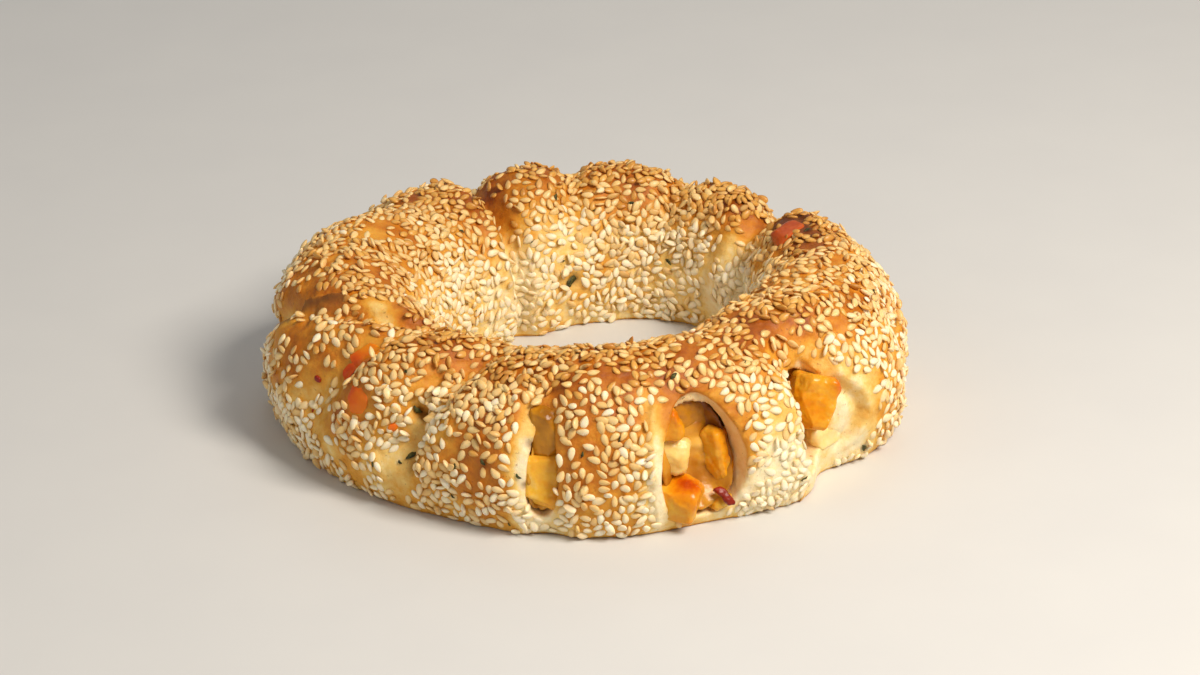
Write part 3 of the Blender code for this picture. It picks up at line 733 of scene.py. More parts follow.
# Sesame seeds, hulled: flat drops with one pointed end.
sesame = {
    "length": 3.38, "width": 2.08, "thickness": 0.86,
    "sizes": (0.84, 1.1), "lengths": (0.92, 1.06), "widths": (0.9, 1.1), "thicknesses": (0.85, 1.2),
    "count": 6500, "triesEach": 8, "draw": 31, "sections": (-38.0, 216.0), "lowest": 0.9, "clear": 0.05,
    "clumps": (7.0, 0.5),                                    # size and strength
    "discs": ((-0.7, 0.93), (0.15, 0.95), (0.93, 0.63)),     # that keep seeds apart: place along, radius
    "settleSteps": 11, "near": 4.6, "push": 0.25, "farthestPush": 0.6, "widestTurn": 0.35,
    "keepShares": (0.1, 0.9), "deepest": 0.8,                # at the edge of bare dough; under the crust
    "onTop": 0.07, "onEdge": 0.07, "edgeAngles": (50.0, 85.0), "edgeLift": 0.22,
    "tilt": 13.0, "tiltLift": 0.22, "sunk": 0.22,
    "crowded": (0.35, 0.9), "crowdedLift": 0.7, "crowdedTilt": 0.35, "lyingFlat": 0.25,
    "collar": 0.26, "collarReach": 1.8,                      # the crust baked up round each seed
    "collarShadeAndBrowning": 0.05, "shadeAndBrownLine": (1.15, 0.25),       # painted contact shade and browning round each seed: how dark, where, how wide
    "bend": 0.12, "roundness": 0.8,
    # how brown a seed is: from the crust under it, for lying on the crown, and by chance
    "toast": (0.65, 0.26, 0.14), "crownFrom": (30.0, 85.0), "crownTo": (115.0, 165.0),
    "shares": (0.46, 0.88),                                  # where pale and golden seeds end
    "tone": (0.22, 0.45, 0.35, 0.1), "rimBrowning": 0.5,     # tone of a seed within its kind
}
# half widths and half thicknesses along a seed, from its blunt end at -1 to its tip at 1
seedOutline = (
    (-0.9, 0.48, 0.5), (-0.58, 0.9, 0.88), (-0.12, 1.0, 1.0), (0.36, 0.78, 0.84), (0.74, 0.4, 0.5),
)
seedSides = 6


def seedShape():
    points, along = [], []
    for place, wide, thick in seedOutline:
        for side in range(seedSides):
            angle = 2.0 * math.pi * side / seedSides
            up = math.copysign(abs(math.sin(angle)) ** sesame["roundness"], math.sin(angle))
            points.append((place * 0.5, math.cos(angle) * wide * 0.5, up * thick * 0.5))
            along.append(place)
    points += [(-0.5, 0.0, 0.0), (0.5, 0.0, 0.0)]
    along += [-1.0, 1.0]
    blunt, tip = len(points) - 2, len(points) - 1
    faces = []
    last = (len(seedOutline) - 1) * seedSides
    for side in range(seedSides):
        following = (side + 1) % seedSides
        faces.append((blunt, following, side))
        faces.append((tip, last + side, last + following))
        for ring in range(len(seedOutline) - 1):
            low, high = ring * seedSides, (ring + 1) * seedSides
            faces.append((low + side, low + following, high + following))
            faces.append((low + side, high + following, high + side))
    return np.array(points), np.array(along), np.array(faces)


def nearPairs(points, reach):
    # pairs of points no further apart than reach, by sorting them into cells
    cell = np.floor(points / reach).astype(np.int64)
    cell -= cell.min(axis=0) - 1
    span = cell.max(axis=0) + 2
    key = (cell[:, 0] * span[1] + cell[:, 1]) * span[2] + cell[:, 2]
    order = np.argsort(key, kind="stable")
    ordered = key[order]
    firsts, seconds = [], []
    for x in (-1, 0, 1):
        for y in (-1, 0, 1):
            for z in (-1, 0, 1):
                wanted = key + (x * span[1] + y) * span[2] + z
                start = np.searchsorted(ordered, wanted, "left")
                end = np.searchsorted(ordered, wanted, "right")
                count = end - start
                first = np.repeat(np.arange(len(points)), count)
                offset = np.arange(count.sum()) - np.repeat(np.cumsum(count) - count, count)
                second = order[np.repeat(start, count) + offset]
                keep = first < second
                firsts.append(first[keep])
                seconds.append(second[keep])
    first, second = np.concatenate(firsts), np.concatenate(seconds)
    keep = np.linalg.norm(points[first] - points[second], axis=1) < reach
    return first[keep], second[keep]


def unit(vectors):
    return vectors / np.maximum(np.linalg.norm(vectors, axis=-1, keepdims=True), 1e-9)


def ontoCrust(tree, points):
    placed, normals = np.empty_like(points), np.empty_like(points)
    for index, point in enumerate(points):
        here, normal, _, _ = tree.find_nearest(Vector(point * mm))
        placed[index] = here
        normals[index] = normal
    return placed / mm, normals


def discPairs(places, heading, first, second):
    # each seed is kept apart by discs along it: for two neighbours, where their discs are and overlap
    for offsetA, radiusA in sesame["discs"]:
        for offsetB, radiusB in sesame["discs"]:
            gap = places[first] + heading[first] * offsetA - places[second] - heading[second] * offsetB
            distance = np.maximum(np.linalg.norm(gap, axis=1), 1e-6)
            yield offsetA, offsetB, gap, distance, radiusA + radiusB - distance


def scatterSeeds(bread):
    draw = np.random.default_rng(sesame["draw"])
    tree = BVHTree.FromObject(bread, bpy.context.evaluated_depsgraph_get())
    tries = sesame["count"] * sesame["triesEach"]
    azimuth = draw.uniform(0.0, 360.0, tries)
    section = draw.uniform(*sesame["sections"], tries)
    points = crustPoints(azimuth, section)
    density = np.hypot(points[:, 0], points[:, 1]) / max(dough["outerRadius"])
    for *place, share in thinSeeds:
        density = density * (1.0 - (1.0 - share) * nearness(azimuth, section, *place))
    clumpSize, clumpStrength = sesame["clumps"]
    density = density * (1.0 + clumpStrength * softNoise(points, clumpSize, 12))
    density = density * (1.0 - bareness(azimuth, section)) * (points[:, 2] > sesame["lowest"])
    chosen = draw.choice(tries, sesame["count"], replace=False, p=density / density.sum())
    places, normals = ontoCrust(tree, points[chosen])
    heading = unit(np.cross(normals, unit(draw.normal(size=places.shape))))
    settled = draw.random(len(places)) > sesame["onTop"]      # the others lie on top of their neighbours
    farthest, widest = sesame["farthestPush"], sesame["widestTurn"]
    for step in range(sesame["settleSteps"]):
        if step % 4 == 0:
            first, second = nearPairs(places, sesame["near"])
        moves, turns = np.zeros_like(places), np.zeros(len(places))
        sideways = np.cross(normals, heading)
        for offsetA, offsetB, gap, distance, overlap in discPairs(places, heading, first, second):
            overlap = np.maximum(overlap, 0.0) * settled[first] * settled[second]
            push = gap * (overlap / distance * sesame["push"])[:, None]
            np.add.at(moves, first, push)
            np.add.at(moves, second, -push)
            np.add.at(turns, first, offsetA * np.einsum("ij,ij->i", push, sideways[first]))
            np.add.at(turns, second, -offsetB * np.einsum("ij,ij->i", push, sideways[second]))
        places, normals = ontoCrust(tree, places + np.clip(moves, -farthest, farthest))
        heading = heading + sideways * np.clip(turns * 0.5, -widest, widest)[:, None]
        heading = unit(heading - normals * np.einsum("ij,ij->i", heading, normals)[:, None])
    crowded = np.zeros(len(places))
    for _, _, _, _, overlap in discPairs(places, heading, first, second):
        np.maximum.at(crowded, np.where(settled[first], second, first), overlap)
    azimuth, section, depth = ringPlace(places)
    relief = foldRelief(azimuth, section)[0]
    keep = (bareness(azimuth, section) < draw.uniform(*sesame["keepShares"], len(places)))
    keep &= (depth + relief < sesame["deepest"]) & (places[:, 2] > sesame["lowest"])
    print("sesame:", int(keep.sum()), "seeds of", len(places), "crowded", round((crowded > 0.5).mean(), 3))
    return places[keep], normals[keep], heading[keep], crowded[keep], azimuth[keep], section[keep], draw


def seedMaterial(name, settings):
    # Hulled sesame, roasted on the crust: an oily, waxy skin with soft highlights, cream to tan, whose
    # tip and edges brown first. Light enters it a little, which keeps its shaded side warm.
    material, shader, place = newMaterial(name, {
        "Roughness": settings["roughness"], "IOR": 1.47, "Subsurface Weight": 0.3,
        "Subsurface Radius": (1.0, 0.75, 0.4), "Subsurface Scale": seedSkin["glowDepth"] * mm,
    })
    tone, tip = (addNode(material, "ShaderNodeAttribute", {"attribute_name": field})
                 for field in ("tone", "tip"))
    mottle, grain = (
        addNode(material, "ShaderNodeTexNoise", {"Scale": 1.0 / (size * mm), "Detail": detail},
                {"Vector": (place, "Object")})
        for size, detail in (seedSkin["mottle"], seedSkin["grain"]))
    shifted = addNode(material, "ShaderNodeMath", {"operation": "MULTIPLY_ADD", 1: seedSkin["mottling"]},
                      {0: (mottle, "Fac"), 2: (tone, "Fac")})
    browned = addNode(material, "ShaderNodeMath",
                      {"operation": "MULTIPLY_ADD", 1: seedSkin["tipBrowning"], "use_clamp": True},
                      {0: (tip, "Fac"), 2: (shifted, 0)})
    colour = addNode(material, "ShaderNodeValToRGB", {"stops": settings["colours"]}, {"Fac": (browned, 0)})
    link(material, colour, 0, shader, "Base Color")
    strength, grainDepth = seedSkin["grainRelief"]
    relief = addNode(material, "ShaderNodeBump", {"Strength": strength, "Distance": grainDepth * mm},
                     {"Height": (grain, "Fac")})
    link(material, relief, 0, shader, "Normal")
    return material


seedSkin = {
    "mottle": (1.2, 3.0), "grain": (0.35, 2.0),      # size and detail
    "mottling": 0.3, "tipBrowning": 0.35, "glowDepth": 0.5,
    "grainRelief": (0.25, 0.05),                     # strength, depth
}
seedKinds = {
    "sesame_pale": {"roughness": 0.4,
                    "colours": ((0.05, "#FFF4DC"), (0.35, "#F8E4BA"), (0.7, "#E9C88B"), (1.0, "#CC9750"))},
    "sesame_golden": {"roughness": 0.38, "colours": ((0.1, "#F8E0AE"), (0.5, "#EBC57F"), (1.0, "#C68B3F"))},
    "sesame_toasted": {"roughness": 0.36, "colours": ((0.1, "#F2D48C"), (0.5, "#E0AA52"), (1.0, "#B4742A"))},
}


def nestleSeeds(bread, places, heading, side, length, width):
    # the crust rises round each seed, and painted contact shade with some browning darkens it along the
    # seed's edge
    mesh = bread.data
    points, normals = pointsAndNormals(mesh)
    tree = KDTree(len(points))
    for index, point in enumerate(points):
        tree.insert(point, index)
    tree.balance()
    reach = sesame["collarReach"] * sesame["length"] * 0.5
    found = [[hit[1] for hit in tree.find_range(place, reach)] for place in places]
    seed = np.repeat(np.arange(len(places)), [len(hits) for hits in found])
    vertex = np.array([index for hits in found for index in hits])
    away = points[vertex] - places[seed]
    x = np.einsum("ij,ij->i", away, heading[seed]) / (0.5 * length[seed])
    y = np.einsum("ij,ij->i", away, side[seed]) / (0.5 * width[seed])
    edge = np.hypot(x, y)
    rise, brown = np.zeros(len(points)), np.zeros(len(points))
    np.maximum.at(rise, vertex, smoothStep(sesame["collarReach"], 1.0, edge))
    lineAt, lineWidth = sesame["shadeAndBrownLine"]
    # painted contact shade round each seed, with some browning, added to the baked tone below
    np.maximum.at(brown, vertex, np.exp(-((edge - lineAt) / lineWidth) ** 2))
    movePoints(mesh, points + normals * (sesame["collar"] * rise)[:, None])
    layer = mesh.attributes["baked"]
    baked = np.zeros(len(points), np.float32)
    layer.data.foreach_get("value", baked)
    paint(mesh, "baked", np.clip(baked + sesame["collarShadeAndBrowning"] * brown, 0.0, 1.0))


def buildSeeds(bread):
    places, normals, heading, crowded, azimuth, section, draw = scatterSeeds(bread)
    count = len(places)
    # tilt each seed a little, stand a few on their edge and lift the ones that lie on others
    side = np.cross(normals, heading)
    tiltAlong = np.radians(draw.normal(0.0, sesame["tilt"], count))
    roll = np.radians(draw.normal(0.0, sesame["tilt"], count))
    onEdge = draw.random(count) < sesame["onEdge"]
    roll = np.where(onEdge, np.radians(draw.uniform(*sesame["edgeAngles"], count)), roll)
    crowdedFrom, mostCrowded = sesame["crowded"]
    lifted = np.clip(crowded - crowdedFrom, 0.0, mostCrowded)
    tiltAlong = tiltAlong + lifted * sesame["crowdedTilt"]
    forward = heading * np.cos(tiltAlong)[:, None] + normals * np.sin(tiltAlong)[:, None]
    upward = unit(np.cross(forward, side))
    sideward = side * np.cos(roll)[:, None] + upward * np.sin(roll)[:, None]
    upward = np.cross(forward, sideward)
    size = draw.uniform(*sesame["sizes"], count)
    length = sesame["length"] * size * draw.uniform(*sesame["lengths"], count)
    width = sesame["width"] * size * draw.uniform(*sesame["widths"], count)
    thick = sesame["thickness"] * draw.uniform(*sesame["thicknesses"], count)
    lift = thick * (0.5 - sesame["sunk"]) + lifted * sesame["crowdedLift"]
    lift = lift + onEdge * width * sesame["edgeLift"]
    lift = lift + np.abs(np.sin(tiltAlong)) * length * sesame["tiltLift"]
    centres = places + normals * lift[:, None]
    flat = ~onEdge & (lifted < sesame["lyingFlat"])
    nestleSeeds(bread, places[flat], heading[flat], side[flat], length[flat], width[flat])
    shape, along, faces = seedShape()
    onTop = smoothStep(*sesame["crownFrom"], section) * (1.0 - smoothStep(*sesame["crownTo"], section))
    fromCrust, fromCrown, byChance = sesame["toast"]
    # a seed takes the crust's tone with its painted light and shade, so seeds are whiter where the key light
    # falls
    toast = fromCrust * crustTone(azimuth, section, places) + fromCrown * onTop
    toast = toast + draw.normal(0.0, byChance, count)
    order = np.argsort(toast, kind="stable")
    kinds = np.empty(count, int)
    kinds[order] = np.searchsorted(sesame["shares"], np.arange(count) / count)
    palest, byToast, middleToast, variation = sesame["tone"]
    rim = sesame["rimBrowning"] * np.clip((2.2 * np.abs(shape[:, 1]) - 0.7) / 0.4, 0.0, 1.0)
    browned = np.clip(along, 0.0, 1.0) ** 1.5 + rim
    for kind, (name, finish) in enumerate(seedKinds.items()):
        mine = np.flatnonzero(kinds == kind)
        local = shape[None] * np.stack([length[mine], width[mine], thick[mine]], axis=-1)[:, None]
        bend = sesame["bend"] * draw.normal(size=len(mine))[:, None] * (2.0 * shape[None, :, 0]) ** 2
        points = (centres[mine][:, None]
                  + local[..., 0:1] * forward[mine][:, None]
                  + (local[..., 1:2] + bend[..., None]) * sideward[mine][:, None]
                  + local[..., 2:3] * upward[mine][:, None])
        lowest = points[..., 2].min(axis=1)
        points[..., 2] += np.maximum(sesame["clear"] - lowest, 0.0)[:, None]         # off the table
        allFaces = (faces[None] + (np.arange(len(mine)) * len(shape))[:, None, None]).reshape(-1, 3)
        piece = meshObject(name, points.reshape(-1, 3), allFaces.tolist(), seedMaterial(name, finish))
        tone = palest + byToast * (toast[mine] - middleToast) + draw.normal(0.0, variation, len(mine))
        paint(piece.data, "tone", np.repeat(np.clip(tone, 0.0, 1.0), len(shape)))
        paint(piece.data, "tip", np.tile(browned, len(mine)))
        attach(piece, "root")
        print(name + ":", len(mine), "seeds,", len(allFaces), "triangles")


# Halloumi. The tone goes from 0 for pale cheese over yellow and orange to 1 for dark red, and each
# spot adds its change round a place in the piece, given along the ring, towards the hole and upwards
# from -1 to 1, with its spread. A piece may be stretched along those ways, and nudged along them and
# turned about the way to the hole. One that is set in is pressed into the crust, which takes that
# share of what stands proud.
cheeses = {
    "cheese_arch_upper_left": {"tone": 0.34, "spots": (((0.5, -0.8, 1.0), 0.7, 0.3),)},
    # the arch's upper piece: its right side toned darker as painted shade, its top toasted and darker still
    # as painted shade under the rim
    "cheese_arch_upper": {
        "finish": "halloumiBrownedAndShaded", "tone": 0.46, "stretch": (1.15, 1.2, 1.1),
        "spots": (((0.9, -0.5, 0.0), 0.8, 0.12), ((0.0, -0.6, 1.0), 0.5, 0.3))},
    "cheese_arch_middle_left": {
        "finish": "halloumiPale", "tone": 0.42, "stretch": (1.05, 1.0, 1.15),
        "spots": (((-0.9, -0.6, -0.6), 0.7, 0.12),)},
    "cheese_arch_middle": {
        "finish": "halloumiPale", "tone": 0.48, "stretch": (1.0, 1.0, 1.1), "nudge": (0.2, 0.2, 0.0, 8.0),
        "spots": (((0.0, 0.0, 1.0), 0.6, 0.12),)},
    "cheese_arch_right": {
        "tone": 0.3, "rough": 1.6, "stretch": (0.9, 1.15, 1.15), "nudge": (1.5, 1.5, 0.4, -13.0),
        "spots": (((1.0, 0.0, 0.3), 0.9, 0.3), ((0.4, -0.8, -1.0), 0.5, 0.4))},
    "cheese_arch_front": {
        "tone": 0.3,
        "spots": (((0.3, -0.4, 1.0), 0.7, 0.5), ((-1.0, 0.0, 0.2), 0.6, -0.14),
                  ((0.5, -1.0, -0.2), 0.5, 0.1))},
    "cheese_arch_floor": {
        "tone": 0.22, "stretch": (1.2, 1.1, 1.3), "spots": (((-0.6, 0.0, 0.5), 0.8, 0.2),)},
    # the slot's upper piece takes the darker browned finish, partly as painted shade deep in the slot
    "cheese_slot_upper": {
        "finish": "halloumiBrownedAndShaded", "tone": 0.36, "stretch": (1.2, 1.25, 1.3),
        "spots": (((0.2, -0.6, 1.0), 0.6, 0.4),)},
    "cheese_slot_lower": {
        "tone": 0.27, "stretch": (1.05, 1.15, 1.14),
        "spots": (((-1.0, -0.6, 0.0), 0.8, -0.2), ((0.3, -0.8, -0.9), 0.6, 0.08))},
    "cheese_right_cube": {
        "tone": 0.3, "nudge": (1.3, -0.5, -1.0, 9.0),
        # the left face is toned darker as painted shade, turned away from the key light; the spot at top
        # right is toasting
        "spots": (((0.7, -0.9, 0.8), 0.5, 0.6), ((-0.9, -0.5, 0.0), 0.8, 0.12))},
    "cheese_right_crumb": {
        "finish": "halloumiPale", "tone": 0.26, "stretch": (1.35, 1.3, 1.3),
        "spots": (((-0.7, -0.4, 0.0), 0.6, 0.14),)},
    "cheese_left_upper": {
        "finish": "halloumiGlazed", "tone": 0.45, "set": 0.1, "nudge": (-1.8, -0.4, 1.3, 0.0),
        "stretch": (1.4, 1.0, 1.3), "spots": (((-0.7, -1.0, 0.0), 0.8, 0.26), ((0.7, 1.0, 0.2), 0.7, -0.2))},
    "cheese_left_lower": {
        "finish": "halloumiGlazed", "tone": 0.7, "set": 0.1, "nudge": (-1.8, -0.4, 1.3, 0.0),
        "stretch": (1.15, 1.0, 1.2), "spots": (((0.0, -0.6, 0.3), 0.7, 0.08),)},
    "cheese_left_spot": {
        "finish": "halloumiGlazed", "tone": 0.5, "set": 0.1, "nudge": (0.0, -0.4, 0.3, 0.0),
        "stretch": (1.1, 1.0, 1.15), "spots": (((-0.8, -0.4, 0.4), 0.8, 0.22),)},
    "cheese_crown_right": {
        "finish": "halloumiBurnt", "tone": 0.12, "set": 0.5, "spots": (((0.0, 0.0, 1.0), 0.7, 0.08),)},
    "cheese_arch_curl": {
        "finish": "halloumiBurnt", "tone": 0.68, "rough": 1.1, "stretch": (0.8, 0.8, 1.0),
        "spots": (((0.0, 0.8, 0.8), 0.6, -0.4),)},
}
cheeseMesh = {
    "voxel": 0.3, "smoothing": 1, "swell": 0.4, "edges": (0.7, 1.0), "edgeBrowning": 0.14,
    "mottle": (3.0, 0.06),                                    # size and strength
    "thin": 4.0, "thinVoxel": 0.2, "thinRough": 0.3,          # a piece thinner than this gets a finer skin
    "lumps": ((5.0, 0.5), (2.2, 0.26), (0.9, 0.12)),
    "facets": 7, "facetShares": (0.66, 0.92), "facetCut": 0.85, "draw": 12,     # corners that broke off
}

# The filling: cubes pressed together in two rows and two layers.
fillingMesh = {
    "voxel": 0.9, "cube": 10.5, "radius": 60.0, "row": 6.0, "layer": 5.5, "shift": 1.5, "turn": 0.06,
    "grooveDepth": 1.5, "grooveWidth": 1.6, "tones": (0.1, 0.75), "grooveTone": 0.35, "draw": 77,
}

# Cheese that melted between the cubes of an opening: how far out it comes at each height, its tone,
# and the share of the opening's width and height that it fills.
melted = {
    "frontArch": {
        # deep tone, partly painted shade inside the hole
        "tone": 0.64, "fill": (1.02, 0.98),
        "fronts": ((3, 78.5), (6, 77.0), (10, 74.0), (14, 71.5), (22, 70.0), (28, 69.0), (33, 68.5),
                   (36, 67.0))},
    "frontSlot": {
        "tone": 0.5, "fill": (1.04, 0.98),
        "fronts": ((3, 75.0), (8, 74.0), (20, 71.5), (30, 69.0), (36, 64.0))},
    "frontRight": {
        "tone": 0.34, "fill": (1.0, 0.97),
        "fronts": ((3, 74.0), (7, 72.0), (12, 69.0), (30, 66.0), (36, 62.0))},
}
meltedMesh = {
    "voxel": 0.5, "smoothing": 3, "back": 56.0, "front": 70.0, "gap": 0.4,
    "lumps": ((4.5, 1.2), (1.8, 0.5)),
    # how far it climbs the walls, which part of the width they are, and to which heights
    "climb": 3.5, "walls": (0.45, 1.0), "climbTop": (34.0, 26.0),
    # changes of tone, and where each begins and is whole; proud and top are painted shade: proud darkens
    # hollows and pales what stands out, top darkens the cheese under the top of the opening
    "mottle": (4.0, 0.24), "proud": -0.14, "middle": -0.2, "middleSpread": 0.3, "low": (30.0, 20.0),
    "top": 0.22, "high": (24.0, 32.0), "right": 0.24, "rightSide": (0.4, 0.9),
}


def cheeseMaterial(name, settings):
    # Halloumi baked inside bread: dense, springy cheese that keeps its cut faces, sweats a little fat and
    # turns from yellow to orange and red where it toasts. Light goes well into it, and it looks moist.
    material, shader, place = newMaterial(name, {
        "Roughness": settings["roughness"], "IOR": 1.4, "Subsurface Weight": settings["glow"],
        "Subsurface Radius": (1.0, 0.5, 0.08), "Subsurface Scale": cheeseSkin["glowDepth"] * mm,
        "Coat Weight": settings.get("coat", 0.0), "Coat Roughness": 0.18,
    })
    toast = addNode(material, "ShaderNodeAttribute", {"attribute_name": "toast"})
    clouds, curd = (
        addNode(material, "ShaderNodeTexNoise",
                {"Scale": 1.0 / (size * mm), "Detail": detail, "Roughness": roughness},
                {"Vector": (place, "Object")})
        for size, detail, roughness in (cheeseSkin["clouds"], cheeseSkin["curd"]))
    spread = addNode(material, "ShaderNodeMath",
                     {"operation": "MULTIPLY_ADD", 1: settings["mottle"], 2: -0.5 * settings["mottle"]},
                     {0: (clouds, "Fac")})
    tone = addNode(material, "ShaderNodeMath", {"operation": "ADD", "use_clamp": True},
                   {0: (toast, "Fac"), 1: (spread, 0)})
    colour = addNode(material, "ShaderNodeValToRGB", {"stops": settings["colours"]}, {"Fac": (tone, 0)})
    link(material, colour, 0, shader, "Base Color")
    strength, curdDepth = cheeseSkin["curdRelief"]
    relief = addNode(material, "ShaderNodeBump", {"Strength": strength, "Distance": curdDepth * mm},
                     {"Height": (curd, "Fac")})
    link(material, relief, 0, shader, "Normal")
    return material


cheeseSkin = {
    "clouds": (3.0, 5.0, 0.6), "curd": (0.8, 4.0, 0.5),       # size, detail, roughness
    "curdRelief": (0.5, 0.18), "glowDepth": 1.5,              # strength, depth
}
cheeseFinish = {
    "halloumiMoist": {
        "colours": ((0.0, "#E9CC80"), (0.2, "#E6B138"), (0.4, "#E0930F"), (0.56, "#D57503"),
                    (0.72, "#C64F02"), (0.86, "#9E2703"), (1.0, "#661002")),
        "roughness": 0.27, "glow": 0.35, "mottle": 0.5},
    "halloumiBurnt": {
        "colours": ((0.0, "#C85A10"), (0.5, "#962204"), (1.0, "#560E02")),
        "roughness": 0.34, "glow": 0.05, "mottle": 0.6},
    # browned halloumi, a darker copy for pieces that lie in shade: partly painted shade
    "halloumiBrownedAndShaded": {
        "colours": ((0.0, "#DCA42C"), (0.4, "#B67A16"), (0.7, "#87520C"), (1.0, "#4C2506")),
        "roughness": 0.27, "glow": 0.2, "mottle": 0.4},
    "halloumiMelted": {
        "colours": ((0.0, "#EED498"), (0.25, "#E2B250"), (0.5, "#CB8F26"), (0.75, "#A96A14"),
                    (1.0, "#7A440A")),
        "roughness": 0.27, "glow": 0.3, "mottle": 0.4},
    "halloumiGlazed": {
        "colours": ((0.0, "#F4B436"), (0.3, "#F29A14"), (0.6, "#EA640A"), (0.8, "#D03A08"),
                    (1.0, "#8C1C06")),
        "roughness": 0.26, "glow": 0.15, "mottle": 0.3},
    "halloumiPale": {
        "colours": ((0.0, "#F6EAC6"), (0.3, "#F1D992"), (0.6, "#E6B64A"), (1.0, "#D98E1C")),
        "roughness": 0.3, "glow": 0.3, "mottle": 0.5},
    "halloumiFilling": {
        "colours": ((0.0, "#E9C57A"), (0.5, "#D9982F"), (1.0, "#9C5A14")),
        "roughness": 0.42, "glow": 0.3, "mottle": 0.5, "coat": 0.1},
}


def copyOfNode(node, name, material):
    piece = bpy.data.objects.new(name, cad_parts[node].data.copy())
    bpy.context.scene.collection.objects.link(piece)
    piece.data.materials.clear()
    piece.data.materials.append(material)
    return piece


def shapeCheese(mesh, number, look, middle, thin):
    # broken corners and a lumpy skin; gives back each point's place in the piece, from -1 to 1
    points, normals = pointsAndNormals(mesh)
    smoothest = cheeseMesh["thinRough"] if thin else 1.0
    rough = look.get("rough", smoothest)
    lumps = rough * lumpyNoise(points + 40.0 * number, cheeseMesh["lumps"], 50)
    draw = np.random.default_rng(cheeseMesh["draw"] + number)
    for facet in unit(draw.normal(size=(0 if thin else cheeseMesh["facets"], 3))):
        reach = (points - middle) @ facet
        beyond = np.maximum(reach - reach.max() * draw.uniform(*cheeseMesh["facetShares"]), 0.0)
        points = points - facet * (cheeseMesh["facetCut"] * beyond)[:, None]
    azimuth = math.degrees(math.atan2(middle[1], middle[0]))
    ring = np.array(ringFrame(azimuth, 0.0, 0.0))[:3, :3]
    local = (points - middle) @ ring
    moved = middle + (local * look.get("stretch", (1.0, 1.0, 1.0))) @ ring.T
    moved = moved + normals * (lumps + cheeseMesh["swell"] * min(rough, smoothest))[:, None]
    if "nudge" in look:
        along, inward, up, turned = look["nudge"]
        spin = np.array(Matrix.Rotation(math.radians(turned), 3, "Y"))
        moved = middle + ((moved - middle) @ ring @ spin.T + (along, inward, up)) @ ring.T
    if "set" in look:
        azimuths, sections, depth = ringPlace(moved)
        proud = np.maximum(-depth, 0.0) * (1.0 - look["set"])
        turn, side = np.radians(azimuths), np.radians(sections)
        out = np.stack([np.cos(side) * np.cos(turn), np.cos(side) * np.sin(turn), np.sin(side)], axis=-1)
        moved = moved - out * proud[:, None]
    movePoints(mesh, moved)
    return points, local / np.maximum(np.abs(local).max(axis=0), 1e-6)


def buildCheese(materials):
    mottleSize, mottle = cheeseMesh["mottle"]
    for number, (node, look) in enumerate(cheeses.items()):
        material = materials[look.get("finish", "halloumiMoist")]
        piece = copyOfNode(node, node.replace("cheese_", "halloumi_"), material)
        low, high = (np.array(corner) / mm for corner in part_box(node))
        thin = min(high - low) < cheeseMesh["thin"]
        remesh(piece, cheeseMesh["thinVoxel"] if thin else cheeseMesh["voxel"], cheeseMesh["smoothing"])
        points, local = shapeCheese(piece.data, number, look, (low + high) / 2.0, thin)
        edge = np.sort(np.abs(local), axis=1)[:, 1]
        tone = look["tone"] + mottle * softNoise(points, mottleSize, 60 + number)
        tone = tone + cheeseMesh["edgeBrowning"] * smoothStep(*cheeseMesh["edges"], edge)
        for place, spread, change in look["spots"]:
            tone = tone + change * np.exp(-np.sum((local - np.array(place)) ** 2, axis=1) / spread ** 2)
        paint(piece.data, "toast", np.clip(tone, 0.0, 1.0))
        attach(piece, "root")
        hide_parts(node)
    print("cheese:", len(cheeses), "pieces")


def openingPlug(name, values, fill, material):
    # a block of cheese that fills the inner part of an opening
    halfWidth, halfHeight = values["inner"][0] * fill[0], values["inner"][1] * fill[1]
    lowest = opening["floor"] + meltedMesh["gap"]
    rings = [openingRing(values, radius, halfWidth * radius / meltedMesh["front"], halfHeight, lowest)
             for radius in (meltedMesh["back"], meltedMesh["front"])]
    return tube(name, rings, material)


def buildMelted(materials):
    back, front = meltedMesh["back"], meltedMesh["front"]
    mottleSize, mottle = meltedMesh["mottle"]
    for number, (name, look) in enumerate(melted.items()):
        values = openings[name]
        piece = openingPlug("melted_" + name, values, look["fill"], materials["halloumiMelted"])
        remesh(piece, meltedMesh["voxel"], meltedMesh["smoothing"])
        points = pointsAndNormals(piece.data)[0]
        height = points[:, 2]
        radius = np.hypot(points[:, 0], points[:, 1])
        lumps = lumpyNoise(points * (1.0, 1.0, 0.8), meltedMesh["lumps"], 90 + number * 5)
        azimuth = np.degrees(np.arctan2(points[:, 1], points[:, 0]))
        beside = wrapAngle(azimuth - values["azimuth"]) / math.degrees(values["inner"][0] / front)
        climb = smoothStep(*meltedMesh["walls"], np.abs(beside))
        climb = climb * smoothStep(*meltedMesh["climbTop"], height)
        farthest = np.interp(height, *zip(*look["fronts"])) + lumps + meltedMesh["climb"] * climb
        moved = back + (radius - back) / (front - back) * (farthest - back)
        outwards = np.stack([moved / radius, moved / radius, np.ones(len(points))], axis=-1)
        movePoints(piece.data, points * outwards)
        tone = look["tone"] + mottle * softNoise(points, mottleSize, 95 + number)
        # painted shade: darker in hollows, paler where it stands out
        tone = tone + meltedMesh["proud"] * lumps
        pale = meltedMesh["middle"] * np.exp(-(beside ** 2) / meltedMesh["middleSpread"])
        tone = tone + pale * smoothStep(*meltedMesh["low"], height)
        # painted shade under the top of the opening
        tone = tone + meltedMesh["top"] * smoothStep(*meltedMesh["high"], height)
        tone = tone + meltedMesh["right"] * smoothStep(*meltedMesh["rightSide"], beside)
        paint(piece.data, "toast", np.clip(tone, 0.0, 1.0))
        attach(piece, "root")
    print("melted cheese:", len(melted), "pieces")


